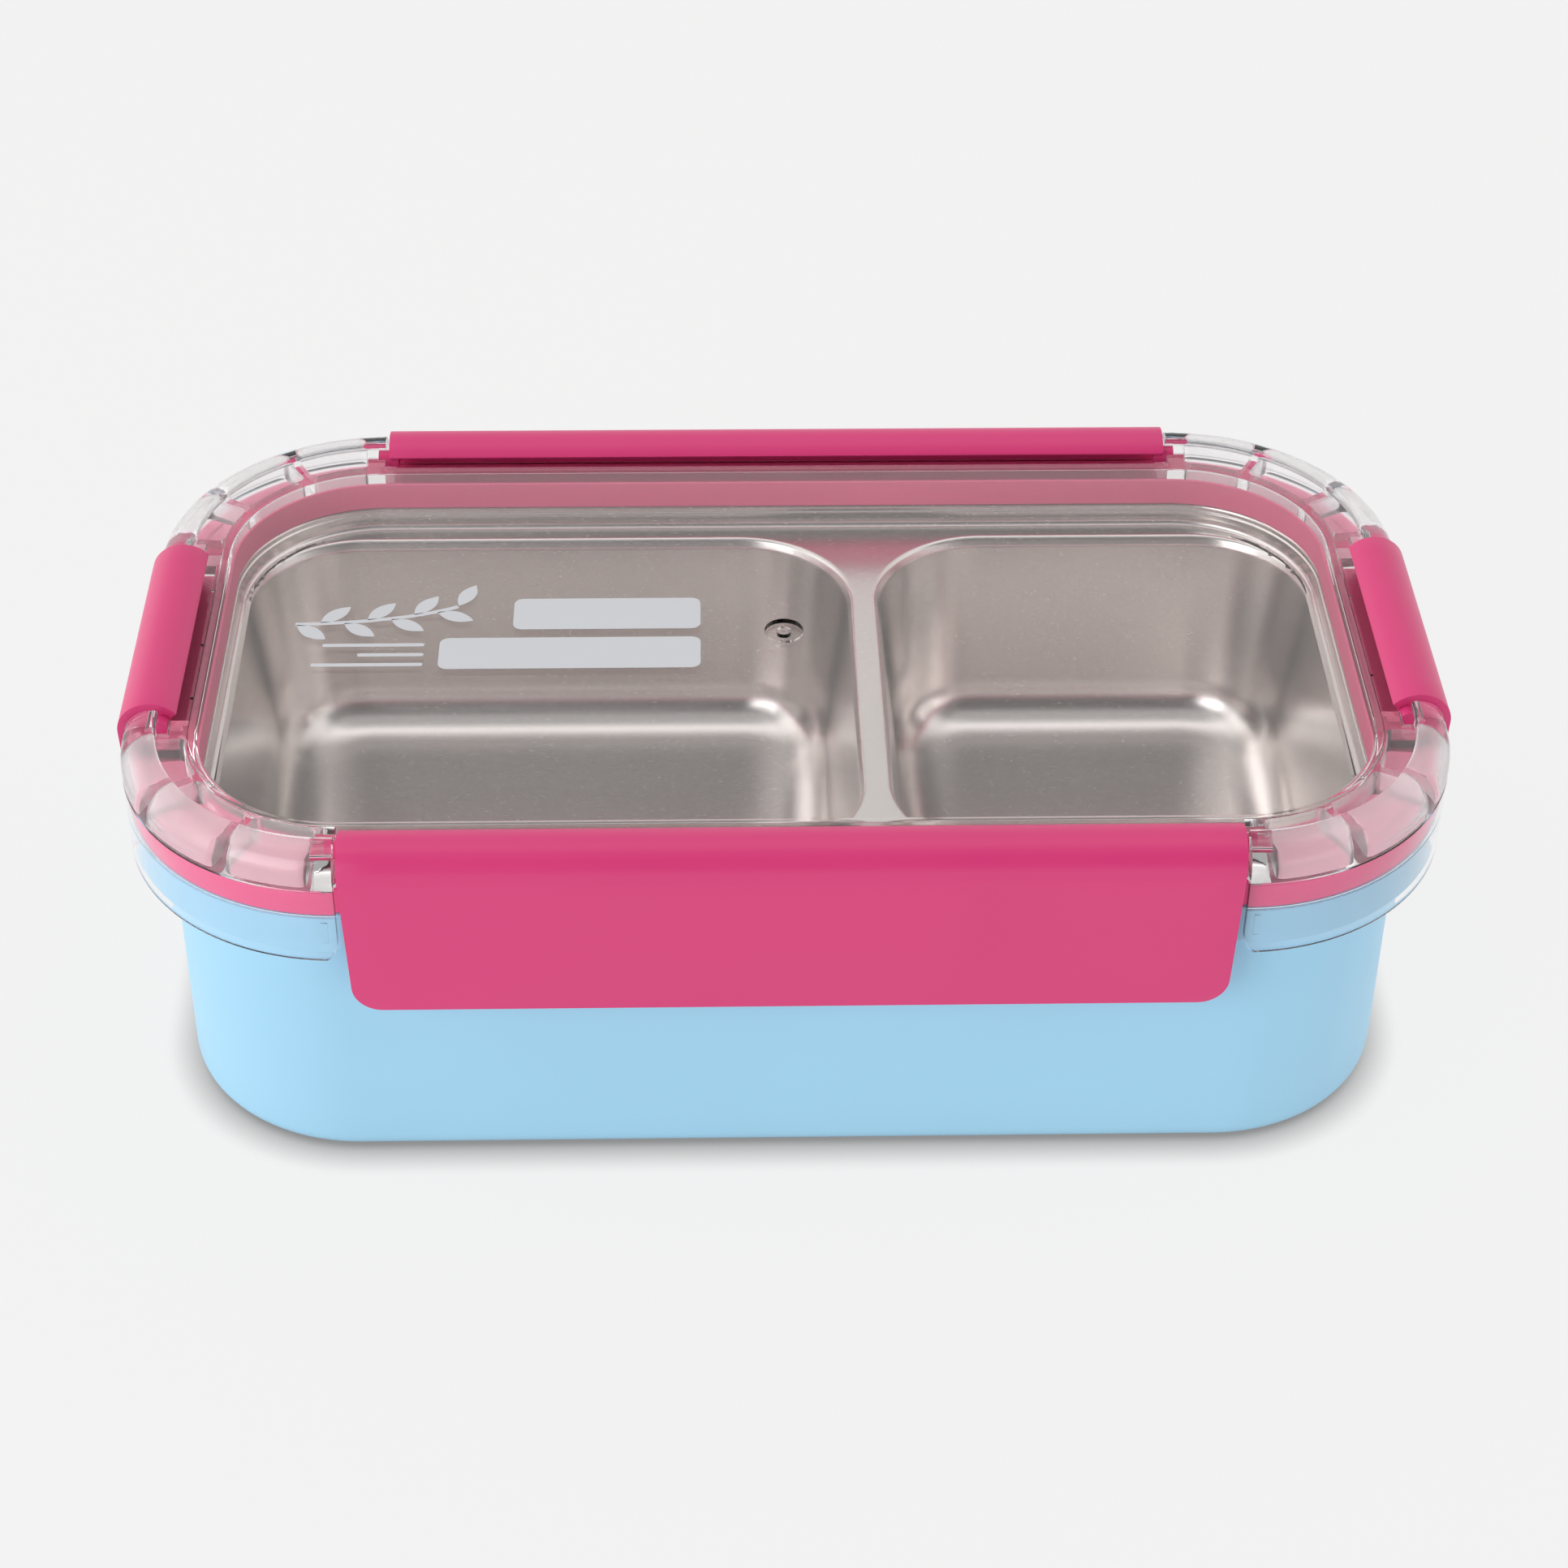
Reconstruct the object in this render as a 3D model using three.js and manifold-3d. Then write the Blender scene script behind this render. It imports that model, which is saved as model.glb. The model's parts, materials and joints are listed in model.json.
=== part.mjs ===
// Two-compartment bento lunch box: outer case, drop-in steel tray in a plastic frame, clear lid with
// its seal, and four side latches hinged on the lid.
//
// Millimetres, +Z up. The origin is the middle of the underside of the case, X runs along the long
// side, and the front is -Y. Every outline in plan is a rounded rectangle parallel to the outer wall
// of the case, so a section is drawn as [offset, z] pairs: offset 0 is that wall, positive is outward.

import * as THREE from "three";
import { mergeVertices } from "three/addons/utils/BufferGeometryUtils.js";
import Module from "manifold-3d";

// ---------------------------------------------------------------- driving dimensions

// Outer case
const CASE_LENGTH = 202.4;
const CASE_DEPTH = 112.4;
const CASE_HEIGHT = 55.2;
const CORNER_RADIUS = 30.4;
const CASE_WALL = 1.8;
const CASE_FLOOR = 2.0;
const FOOT_FILLET = 4.0;
const RIM_REACH = 4.6; // how far the rim stands out from the wall
const RIM_DROP = 7.2; // height of the turned-down lip
const RIM_WALL = 1.6;

// Tray frame and steel tray
const SHELF = 0.9; // plastic under the steel flange
const SHELF_REACH = 5.2; // inner edge of the shelf, in from the case wall
const FRAME_BAND = 4.5; // height of the band that shows round the outside
const BAND_WALL = 2.6;
const SPIGOT_WALL = 1.3;
const SPIGOT_DROP = 5.0; // locating skirt inside the case
const SHEET = 0.5; // steel thickness
const DECK_DROP = 4.1; // flange to deck
const TRAY_DEPTH = 36.5; // deck to compartment floor
const END_LAND = 6.8; // case wall to compartment mouth, at the ends
const SIDE_LAND = 10.4; // the same, at the front and back
const DIVIDER_X = 14.75;
const DIVIDER_WIDTH = 4.1;
const MOUTH_RADIUS = 20;
const MOUTH_LIP = 1.6;
const WALL_DRAFT = 4.4; // how far the compartment walls lean in, top to bottom
const FLOOR_FILLET = 9.0;

// Seal
const SEAL_HEIGHT = 2.5;
const SEAL_EDGE = 0.6; // bevel along its lower edges

// Lid
const LID_FLOOR = 0.9; // channel floor between the panel and the shoulders
const LID_WALL = 1.4;
const PANEL_RISE = 4.6; // channel floor to panel top
const PANEL_INSET = 4.2; // case wall to the panel's edge
const SHOULDER_RADIUS = 5.0;
const SHOULDER_RISE = 1.4; // channel floor to the centre of the shoulder's round
const SHOULDER_INNER = 0.4; // inner face of the shoulder
const SKIRT_DROP = 14.2; // channel floor to the skirt's lower edge
const RIB_ANGLES = [30, 60]; // degrees round each corner
const RIB_WALL = 1.2;
const RIB_BITE = 0.1; // how far a rib runs into the skin of the shoulder
const LUG_WALL = 1.8;
const GATE_RADIUS = 3.25;
const GATE_DEPTH = 0.9;
const GATE_STUB = 1.2;

// Latches
const LONG_LATCH = 140.0;
const SHORT_LATCH = 46.4;
const LATCH_WALL = 1.3;
const LATCH_TAPER = 1.0; // each end draws in by this much at the bottom
const LATCH_CORNER = 4.6;
const ROLL_RADIUS = 5.6;
const ROLL_RISE = 1.5; // channel floor to the centre of the rolled top
const ROLL_START = 140.5; // degrees, the inner edge of the rolled top
const LATCH_PROUD = 1.23; // latch face beyond the skirt's face
const PLATE_DROP = 25.5; // roll centre to the latch's lower edge
const PLATE_LEAN = 0.93; // how far the plate leans in, top to bottom
const PIVOT_IN = 1.73; // hinge axis, in from the centre of the rolled top
const PIVOT_RISE = 3.4; // and above the channel floor
const PIN_RADIUS = 1.5;
const PIN_REACH = 2.0; // pin beyond the latch's end
const EAR_WALL = 1.6;
const HOOK_HEIGHT = 4.6;

// Clearances
const GAP = 0.3; // between stacked or nested pieces
const LATCH_END_GAP = 0.7; // latch end to lug
const PIN_GAP = 0.3; // pin to its hole, on the radius
const HOOK_GAP = 0.3; // hook tip to the face of the rim
const CUT = 1.0; // how far a cutter passes through a face

const CORNER_STEPS = 4; // plan corners: two facets for each step
const ARC_STEPS = 3; // section arcs: two facets for each step

// ---------------------------------------------------------------- heights and places that follow

const FRAME_BOTTOM = CASE_HEIGHT + GAP;
const FLANGE_BOTTOM = FRAME_BOTTOM + SHELF + GAP;
const FLANGE_TOP = FLANGE_BOTTOM + SHEET;
const SEAL_BOTTOM = FLANGE_TOP + GAP;
const SEAL_TOP = SEAL_BOTTOM + SEAL_HEIGHT;
const FRAME_TOP = FRAME_BOTTOM + FRAME_BAND;
const LID_BOTTOM = Math.max(SEAL_TOP, FRAME_TOP) + GAP;
const CHANNEL_FLOOR = LID_BOTTOM + LID_FLOOR;
const PANEL_TOP = CHANNEL_FLOOR + PANEL_RISE;
const SKIRT_BOTTOM = CHANNEL_FLOOR - SKIRT_DROP;
const DECK_TOP = FLANGE_TOP - DECK_DROP;
const TRAY_FLOOR = DECK_TOP - TRAY_DEPTH;

const CASE_INNER = -CASE_WALL;
const SPIGOT_OUTER = CASE_INNER - GAP;
const BAND_INNER = RIM_REACH - BAND_WALL; // inner face of the frame's outer band
const STEP_OUTER = -SHELF_REACH - GAP; // outer face of the steel step wall
const SKIRT_INNER = RIM_REACH + GAP;
const SKIRT_OUTER = SKIRT_INNER + LID_WALL;
const SHOULDER_OUT = SKIRT_OUTER - SHOULDER_RADIUS;
const SHOULDER_Z = CHANNEL_FLOOR + SHOULDER_RISE;
const ROLL_OUT = SKIRT_OUTER + LATCH_PROUD - ROLL_RADIUS;
const ROLL_Z = CHANNEL_FLOOR + ROLL_RISE;
const PIVOT_OUT = ROLL_OUT - PIVOT_IN;
const PIVOT_Z = CHANNEL_FLOOR + PIVOT_RISE;

const BODY = { x: 0, halfLength: CASE_LENGTH / 2, halfDepth: CASE_DEPTH / 2, radius: CORNER_RADIUS };
const CORNER_X = LONG_LATCH / 2 + LATCH_END_GAP; // where the lid's corners begin
const CORNER_Y = SHORT_LATCH / 2 + LATCH_END_GAP;

const wasm = await Module();
wasm.setup();

// ---------------------------------------------------------------- shapes

// Rounded rectangle parallel to a plan, as a ring of points, counter-clockwise from above.
function outline(plan, offset) {
  const radius = plan.radius + offset;
  const x = plan.halfLength - plan.radius;
  const y = plan.halfDepth - plan.radius;
  const shape = new THREE.Shape();
  shape.absarc(plan.x + x, y, radius, 0, Math.PI / 2);
  shape.absarc(plan.x - x, y, radius, Math.PI / 2, Math.PI);
  shape.absarc(plan.x - x, -y, radius, Math.PI, Math.PI * 1.5);
  shape.absarc(plan.x + x, -y, radius, Math.PI * 1.5, Math.PI * 2);
  return shape.getPoints(CORNER_STEPS);
}

// Points of a round in a section, from one angle to another, in degrees.
function arc(centreOffset, centreZ, radius, from, to) {
  const curve = new THREE.EllipseCurve(
    centreOffset,
    centreZ,
    radius,
    radius,
    THREE.MathUtils.degToRad(from),
    THREE.MathUtils.degToRad(to),
    to < from,
  );
  return curve.getPoints(ARC_STEPS * 2).map((p) => [p.x, p.y]);
}

// Surface through rings of points, one ring for each [offset, z] of a section. A closed section makes
// a frame, and an open one makes a body whose first ring is capped below and whose last is capped above.
function loft(plan, section, closed) {
  const rings = section.map(([offset]) => outline(plan, offset));
  const count = rings[0].length;
  const positions = rings.flatMap((ring, i) => ring.flatMap((p) => [p.x, p.y, section[i][1]]));
  const indices = [];
  const spans = closed ? rings.length : rings.length - 1;
  for (let i = 0; i < spans; i++) {
    const lower = i * count;
    const upper = ((i + 1) % rings.length) * count;
    for (let j = 0; j < count; j++) {
      const k = (j + 1) % count;
      indices.push(lower + j, lower + k, upper + k, lower + j, upper + k, upper + j);
    }
  }
  if (!closed) {
    const last = (rings.length - 1) * count;
    for (const [a, b, c] of THREE.ShapeUtils.triangulateShape(rings[0], [])) indices.push(c, b, a);
    for (const [a, b, c] of THREE.ShapeUtils.triangulateShape(rings.at(-1), [])) {
      indices.push(last + a, last + b, last + c);
    }
  }
  const geometry = new THREE.BufferGeometry();
  geometry.setAttribute("position", new THREE.Float32BufferAttribute(positions, 3));
  geometry.setIndex(indices);
  return geometry;
}

const frameSolid = (plan, section) => solid(loft(plan, section, true));
const bodySolid = (plan, section) => solid(loft(plan, section, false));

// A three.js geometry as a manifold solid.
function solid(geometry) {
  const bare = geometry.clone();
  bare.deleteAttribute("normal");
  bare.deleteAttribute("uv");
  const merged = mergeVertices(bare, 1e-4);
  return new wasm.Manifold(
    new wasm.Mesh({
      numProp: 3,
      vertProperties: merged.attributes.position.array,
      triVerts: new Uint32Array(merged.index.array),
    }),
  );
}

// A manifold solid as a named three.js mesh.
function piece(name, shape, material) {
  const { vertProperties, triVerts } = shape.getMesh();
  const geometry = new THREE.BufferGeometry();
  geometry.setAttribute("position", new THREE.BufferAttribute(vertProperties, 3));
  geometry.setIndex(new THREE.BufferAttribute(triVerts, 1));
  geometry.computeVertexNormals();
  const mesh = new THREE.Mesh(geometry, material);
  mesh.name = name;
  return mesh;
}

const join = (solids) => solids.reduce((whole, part) => whole.add(part));

// Box between two corners.
function block(low, high) {
  const size = high.map((value, i) => value - low[i]);
  const geometry = new THREE.BoxGeometry(...size);
  geometry.translate(...low.map((value, i) => value + size[i] / 2));
  return solid(geometry);
}

// Round rod along X, Y or Z, centred on a point.
function rod(radius, length, axis, centre, facets = 20) {
  const geometry = new THREE.CylinderGeometry(radius, radius, length, facets);
  if (axis === "x") geometry.rotateZ(Math.PI / 2);
  if (axis === "z") geometry.rotateX(Math.PI / 2);
  geometry.translate(...centre);
  return solid(geometry);
}

// ---------------------------------------------------------------- outer case

function outerCase() {
  const wallTop = CASE_HEIGHT - RIM_WALL;
  const innerFillet = FOOT_FILLET - CASE_WALL;
  return bodySolid(BODY, [
    ...arc(-FOOT_FILLET, FOOT_FILLET, FOOT_FILLET, 270, 360),
    [0, wallTop],
    [RIM_REACH - RIM_WALL, wallTop],
    [RIM_REACH - RIM_WALL, CASE_HEIGHT - RIM_DROP],
    [RIM_REACH, CASE_HEIGHT - RIM_DROP],
    [RIM_REACH, CASE_HEIGHT],
    [CASE_INNER, CASE_HEIGHT],
    [CASE_INNER, CASE_FLOOR + innerFillet],
    ...arc(CASE_INNER - innerFillet, CASE_FLOOR + innerFillet, innerFillet, 360, 270).slice(1),
  ]);
}

// ---------------------------------------------------------------- tray frame and steel tray

function trayFrame() {
  const shelfTop = FRAME_BOTTOM + SHELF;
  const spigotInner = SPIGOT_OUTER - SPIGOT_WALL;
  return frameSolid(BODY, [
    [SPIGOT_OUTER, FRAME_BOTTOM],
    [RIM_REACH, FRAME_BOTTOM],
    [RIM_REACH, FRAME_TOP],
    [BAND_INNER, FRAME_TOP],
    [BAND_INNER, shelfTop],
    [-SHELF_REACH, shelfTop],
    [-SHELF_REACH, FRAME_BOTTOM],
    [spigotInner, FRAME_BOTTOM],
    [spigotInner, FRAME_BOTTOM - SPIGOT_DROP],
    [SPIGOT_OUTER, FRAME_BOTTOM - SPIGOT_DROP],
  ]);
}

// Plans of the two compartment mouths, left and right of the divider.
function mouthPlans() {
  const low = -BODY.halfLength + END_LAND;
  const high = BODY.halfLength - END_LAND;
  const spans = [
    [low, DIVIDER_X - DIVIDER_WIDTH / 2],
    [DIVIDER_X + DIVIDER_WIDTH / 2, high],
  ];
  return spans.map(([from, to]) => ({
    x: (from + to) / 2,
    halfLength: (to - from) / 2,
    halfDepth: BODY.halfDepth - SIDE_LAND,
    radius: MOUTH_RADIUS,
  }));
}

// One compartment as a solid plug, from its floor up to the deck. Growth is 0 for the hollow and the
// sheet's thickness for the outside of the pressing.
function compartment(mouth, growth) {
  const floor = TRAY_FLOOR - growth;
  const fillet = FLOOR_FILLET + growth;
  const lean = growth - MOUTH_LIP / 2;
  const lip = growth === 0 ? [[0, DECK_TOP], [0, DECK_TOP + CUT]] : [[growth, DECK_TOP - SHEET / 2]];
  return bodySolid(mouth, [
    ...arc(lean - WALL_DRAFT - fillet, floor + fillet, fillet, 270, 360),
    [lean, DECK_TOP - MOUTH_LIP],
    ...lip,
  ]);
}

function steelTray() {
  const mouths = mouthPlans();
  const stepInner = STEP_OUTER - SHEET;
  const flangeOuter = BAND_INNER - GAP;
  const dish = bodySolid(BODY, [
    [STEP_OUTER, DECK_TOP - SHEET],
    [STEP_OUTER, FLANGE_BOTTOM],
    [flangeOuter, FLANGE_BOTTOM],
    [flangeOuter, FLANGE_TOP],
    [stepInner, FLANGE_TOP],
    [stepInner, DECK_TOP],
  ]);
  const outside = mouths.map((mouth) => compartment(mouth, SHEET));
  const hollows = mouths.map((mouth) => compartment(mouth, 0));
  return join([dish, ...outside]).subtract(join(hollows));
}

// ---------------------------------------------------------------- lid and seal

function lidSeal() {
  const outer = BAND_INNER - GAP;
  const inner = -SHELF_REACH;
  return frameSolid(BODY, [
    [inner + SEAL_EDGE, SEAL_BOTTOM],
    [outer - SEAL_EDGE, SEAL_BOTTOM],
    [outer, SEAL_BOTTOM + SEAL_EDGE],
    [outer, SEAL_TOP],
    [inner, SEAL_TOP],
    [inner, SEAL_BOTTOM + SEAL_EDGE],
  ]);
}

// Panel, its side wall and the channel floor round it.
function lidPlate() {
  const wallInner = -PANEL_INSET - LID_WALL;
  const edge = LID_WALL / 3;
  return bodySolid(BODY, [
    [wallInner, PANEL_TOP - LID_WALL],
    [wallInner, LID_BOTTOM],
    [RIM_REACH - GAP, LID_BOTTOM],
    [RIM_REACH - GAP, CHANNEL_FLOOR],
    [-PANEL_INSET, CHANNEL_FLOOR],
    [-PANEL_INSET, PANEL_TOP - edge],
    [-PANEL_INSET - edge, PANEL_TOP],
  ]);
}

// Rounded shoulder and skirt, filled in to a given inner face.
function shoulder(inner, innerTop) {
  return frameSolid(BODY, [
    [SKIRT_INNER, SKIRT_BOTTOM],
    [SKIRT_OUTER, SKIRT_BOTTOM],
    ...arc(SHOULDER_OUT, SHOULDER_Z, SHOULDER_RADIUS, 0, 90),
    [inner, innerTop],
    [inner, LID_BOTTOM],
    [SKIRT_INNER, LID_BOTTOM],
  ]);
}

// Pocket under the skin of a shoulder, open to the channel beside it.
function shoulderPocket() {
  const radius = SHOULDER_RADIUS - LID_WALL;
  const inner = SHOULDER_INNER - CUT;
  return frameSolid(BODY, [
    [inner, CHANNEL_FLOOR],
    [SKIRT_INNER, CHANNEL_FLOOR],
    ...arc(SHOULDER_OUT, SHOULDER_Z, radius, 0, 90),
    [inner, SHOULDER_Z + radius],
  ]);
}

// The four corner zones of the lid, from a given distance past the latch gaps.
function cornerZones(past) {
  const reach = CASE_LENGTH;
  const zones = [];
  for (const sx of [-1, 1]) {
    for (const sy of [-1, 1]) {
      const xs = [sx * (CORNER_X + past), sx * reach].sort((a, b) => a - b);
      const ys = [sy * (CORNER_Y + past), sy * reach].sort((a, b) => a - b);
      zones.push(block([xs[0], ys[0], 0], [xs[1], ys[1], PANEL_TOP * 2]));
    }
  }
  return join(zones);
}

// Upright ribs from the panel wall to the skin of the shoulder, fanned round each corner.
function cornerRibs() {
  const from = CORNER_RADIUS - PANEL_INSET - LID_WALL / 2;
  const length = SKIRT_INNER + RIB_BITE + PANEL_INSET + LID_WALL / 2;
  const low = CHANNEL_FLOOR - LID_FLOOR / 2;
  const high = PANEL_TOP;
  const ribs = [];
  for (let quarter = 0; quarter < 4; quarter++) {
    const sx = quarter === 0 || quarter === 3 ? 1 : -1;
    const sy = quarter < 2 ? 1 : -1;
    for (const angle of RIB_ANGLES) {
      const geometry = new THREE.BoxGeometry(length, RIB_WALL, high - low);
      geometry.translate(from + length / 2, 0, (low + high) / 2);
      geometry.rotateZ(THREE.MathUtils.degToRad(angle + quarter * 90));
      geometry.translate(sx * (BODY.halfLength - CORNER_RADIUS), sy * (BODY.halfDepth - CORNER_RADIUS), 0);
      ribs.push(solid(geometry));
    }
  }
  return join(ribs);
}

// Holes for the latch pins, through the lugs at both ends of each latch.
function pinHoles() {
  const radius = PIN_RADIUS + PIN_GAP;
  const length = 2 * (LUG_WALL + CUT);
  const outX = BODY.halfLength + PIVOT_OUT;
  const outY = BODY.halfDepth + PIVOT_OUT;
  const holes = [];
  for (const end of [-1, 1]) {
    for (const side of [-1, 1]) {
      holes.push(rod(radius, length, "x", [end * CORNER_X, side * outY, PIVOT_Z]));
      holes.push(rod(radius, length, "y", [side * outX, end * CORNER_Y, PIVOT_Z]));
    }
  }
  return join(holes);
}

function lid() {
  const corners = cornerZones(0);
  const behindLugs = cornerZones(LUG_WALL);
  const lugs = shoulder(-PANEL_INSET - LID_WALL / 2, PANEL_TOP).intersect(corners).subtract(behindLugs);
  const shoulders = shoulder(SHOULDER_INNER, PANEL_TOP).intersect(corners);
  const pockets = shoulderPocket().intersect(behindLugs);
  const gate = rod(GATE_RADIUS, GATE_DEPTH * 2, "z", [0, 0, PANEL_TOP], 24);
  const stub = rod(GATE_STUB, GATE_DEPTH, "z", [0, 0, PANEL_TOP - GATE_DEPTH], 12);
  return join([lidPlate(), shoulders.subtract(pockets), lugs, cornerRibs()])
    .subtract(pinHoles())
    .subtract(gate)
    .add(stub);
}

// ---------------------------------------------------------------- latches

// Section of a latch about its hinge axis: the rolled top, the plate and the hook that it carries.
function latchSection() {
  const out = ROLL_OUT - PIVOT_OUT;
  const up = ROLL_Z - PIVOT_Z;
  const foot = up - PLATE_DROP;
  const footOut = out + ROLL_RADIUS - PLATE_LEAN;
  const innerRadius = ROLL_RADIUS - LATCH_WALL;
  const inner = (z) => footOut - LATCH_WALL + (PLATE_LEAN * (z - foot)) / PLATE_DROP;
  const hookTop = CASE_HEIGHT - RIM_DROP - GAP - PIVOT_Z;
  const hookTip = RIM_REACH + HOOK_GAP - PIVOT_OUT;
  return [
    ...arc(out, up, ROLL_RADIUS, ROLL_START, 0),
    [footOut, foot],
    [footOut - LATCH_WALL, foot],
    [inner(hookTop - HOOK_HEIGHT), hookTop - HOOK_HEIGHT],
    [hookTip, hookTop - HOOK_HEIGHT / 4],
    [hookTip, hookTop],
    [inner(hookTop), hookTop],
    ...arc(out, up, innerRadius, 0, ROLL_START),
  ];
}

// Web that joins the rolled top to a hinge pin.
function earSection() {
  const out = ROLL_OUT - PIVOT_OUT;
  const up = ROLL_Z - PIVOT_Z;
  const middle = ROLL_RADIUS - LATCH_WALL / 2;
  return [...arc(out, up, middle, ROLL_START, 0), [0, -PIN_RADIUS]];
}

// A section extruded along X, centred: offsets point to the front, which is -Y.
function alongX(section, length, centre = 0) {
  const shape = new THREE.Shape(section.map(([out, z]) => new THREE.Vector2(out, z)));
  const geometry = new THREE.ExtrudeGeometry(shape, { depth: length, bevelEnabled: false });
  geometry.rotateX(Math.PI / 2);
  geometry.rotateZ(-Math.PI / 2);
  geometry.translate(centre + length / 2, 0, 0);
  return solid(geometry);
}

// Front view of a latch: a slight taper towards the bottom, with round lower corners.
function latchFace(length) {
  const top = ROLL_Z + ROLL_RADIUS + CUT - PIVOT_Z;
  const foot = ROLL_Z - PLATE_DROP - PIVOT_Z;
  const half = length / 2;
  const footHalf = half - LATCH_TAPER;
  const shape = new THREE.Shape();
  shape.moveTo(half, top);
  shape.lineTo(-half, top);
  shape.absarc(-footHalf + LATCH_CORNER, foot + LATCH_CORNER, LATCH_CORNER, Math.PI, Math.PI * 1.5);
  shape.absarc(footHalf - LATCH_CORNER, foot + LATCH_CORNER, LATCH_CORNER, Math.PI * 1.5, Math.PI * 2);
  const thick = 4 * (ROLL_RADIUS + ROLL_OUT);
  const geometry = new THREE.ExtrudeGeometry(shape, {
    depth: thick,
    bevelEnabled: false,
    curveSegments: ARC_STEPS,
  });
  geometry.rotateX(Math.PI / 2);
  geometry.translate(0, thick / 2, 0);
  return solid(geometry);
}

function latch(length) {
  const plate = alongX(latchSection(), length).intersect(latchFace(length));
  const earPlace = (length - EAR_WALL) / 2;
  const pinLength = EAR_WALL + PIN_REACH;
  const pinPlace = earPlace - EAR_WALL / 2 + pinLength / 2;
  const ends = [-1, 1].flatMap((end) => [
    alongX(earSection(), EAR_WALL, end * earPlace),
    rod(PIN_RADIUS, pinLength, "x", [end * pinPlace, 0, 0]),
  ]);
  return join([plate, ...ends]);
}

// Hang a latch on its hinge axis: turn 0 faces the front, and each quarter turn goes on round the box.
function hang(name, length, reach, turn, material) {
  const mesh = piece(name, latch(length), material);
  const angle = (turn * Math.PI) / 2;
  mesh.rotation.z = angle;
  mesh.position.set(
    Math.sin(angle) * (reach + PIVOT_OUT),
    -Math.cos(angle) * (reach + PIVOT_OUT),
    PIVOT_Z,
  );
  return mesh;
}

// ---------------------------------------------------------------- the assembly

const material = (color, roughness, metalness = 0) =>
  new THREE.MeshStandardMaterial({ color, roughness, metalness });

const clear = material(0xe9eef0, 0.08);
clear.transparent = true;
clear.opacity = 0.35;

const lunchBox = new THREE.Group();
lunchBox.add(
  piece("outer_case", outerCase(), material(0xa5d7f3, 0.45)),
  piece("tray_frame", trayFrame(), material(0xd76a90, 0.45)),
  piece("steel_tray", steelTray(), material(0xb9b2ac, 0.3, 1)),
  piece("lid", lid(), clear),
  piece("lid_seal", lidSeal(), material(0xd8718f, 0.6)),
  hang("latch_front", LONG_LATCH, BODY.halfDepth, 0, material(0xe0507f, 0.4)),
  hang("latch_right", SHORT_LATCH, BODY.halfLength, 1, material(0xe0507f, 0.4)),
  hang("latch_back", LONG_LATCH, BODY.halfDepth, 2, material(0xe0507f, 0.4)),
  hang("latch_left", SHORT_LATCH, BODY.halfLength, 3, material(0xe0507f, 0.4)),
);

export default lunchBox;
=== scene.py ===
# %% [markdown]
# # Bento lunch box
# A blue moulded case holds a stamped steel tray in a pink frame. A clear lid closes it, and four pink
# latches hang from the lid and hook under the case rim. This file builds the looks of each piece round
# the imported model, which is loaded first and never moved.

# %% Load the fixed frame
import json
import math
from collections import Counter, namedtuple

import bmesh
import bpy
from mathutils import Matrix, Vector

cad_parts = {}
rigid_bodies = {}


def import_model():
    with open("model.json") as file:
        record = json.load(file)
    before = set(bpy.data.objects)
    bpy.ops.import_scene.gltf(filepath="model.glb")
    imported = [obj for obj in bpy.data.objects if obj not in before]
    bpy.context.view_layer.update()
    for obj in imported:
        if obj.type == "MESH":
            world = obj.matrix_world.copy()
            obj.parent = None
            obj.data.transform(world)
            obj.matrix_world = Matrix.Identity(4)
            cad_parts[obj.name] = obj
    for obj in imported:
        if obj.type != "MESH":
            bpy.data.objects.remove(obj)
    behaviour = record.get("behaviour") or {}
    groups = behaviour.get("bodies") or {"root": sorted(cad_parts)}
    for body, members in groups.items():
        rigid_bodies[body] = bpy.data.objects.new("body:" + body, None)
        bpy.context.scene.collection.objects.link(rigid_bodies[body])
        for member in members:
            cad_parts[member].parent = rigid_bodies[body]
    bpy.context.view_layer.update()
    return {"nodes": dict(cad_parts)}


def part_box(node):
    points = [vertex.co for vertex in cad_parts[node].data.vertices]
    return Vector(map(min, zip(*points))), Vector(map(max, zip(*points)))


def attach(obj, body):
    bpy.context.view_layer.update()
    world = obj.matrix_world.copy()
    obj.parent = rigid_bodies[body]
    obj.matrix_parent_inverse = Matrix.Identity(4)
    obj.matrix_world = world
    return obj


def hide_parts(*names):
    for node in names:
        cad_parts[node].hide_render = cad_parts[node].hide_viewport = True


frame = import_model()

MM = 0.001
print("nodes:", ", ".join(sorted(frame["nodes"])))

# %% [markdown]
# ## Sizes
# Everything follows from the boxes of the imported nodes, so a piece lands where the frame says. All the
# outlines in plan are rounded rectangles parallel to the outer wall of the case. A section is therefore
# a list of corners (offset from that wall, height), in millimetres, with a radius for each corner.

# %% Read the driving sizes
RIM_REACH = 4.6
CORNER_RADIUS = 30.4


def node_box(node):
    """Lowest and highest corner of a node, in millimetres."""
    low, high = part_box(node)
    return low / MM, high / MM


case_high = node_box("outer_case")[1]
frame_high = node_box("tray_frame")[1]
tray_high = node_box("steel_tray")[1]
latch_low, latch_high = node_box("latch_front")

HALF_LENGTH = case_high.x - RIM_REACH
HALF_DEPTH = case_high.y - RIM_REACH
CASE_TOP = case_high.z
FLANGE_TOP = tray_high.z
FLANGE_OUTER = tray_high.x - HALF_LENGTH
LID_BOTTOM = frame_high.z + 0.3
print("case wall half sizes", round(HALF_LENGTH, 2), round(HALF_DEPTH, 2), "rim at", round(CASE_TOP, 2))

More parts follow.
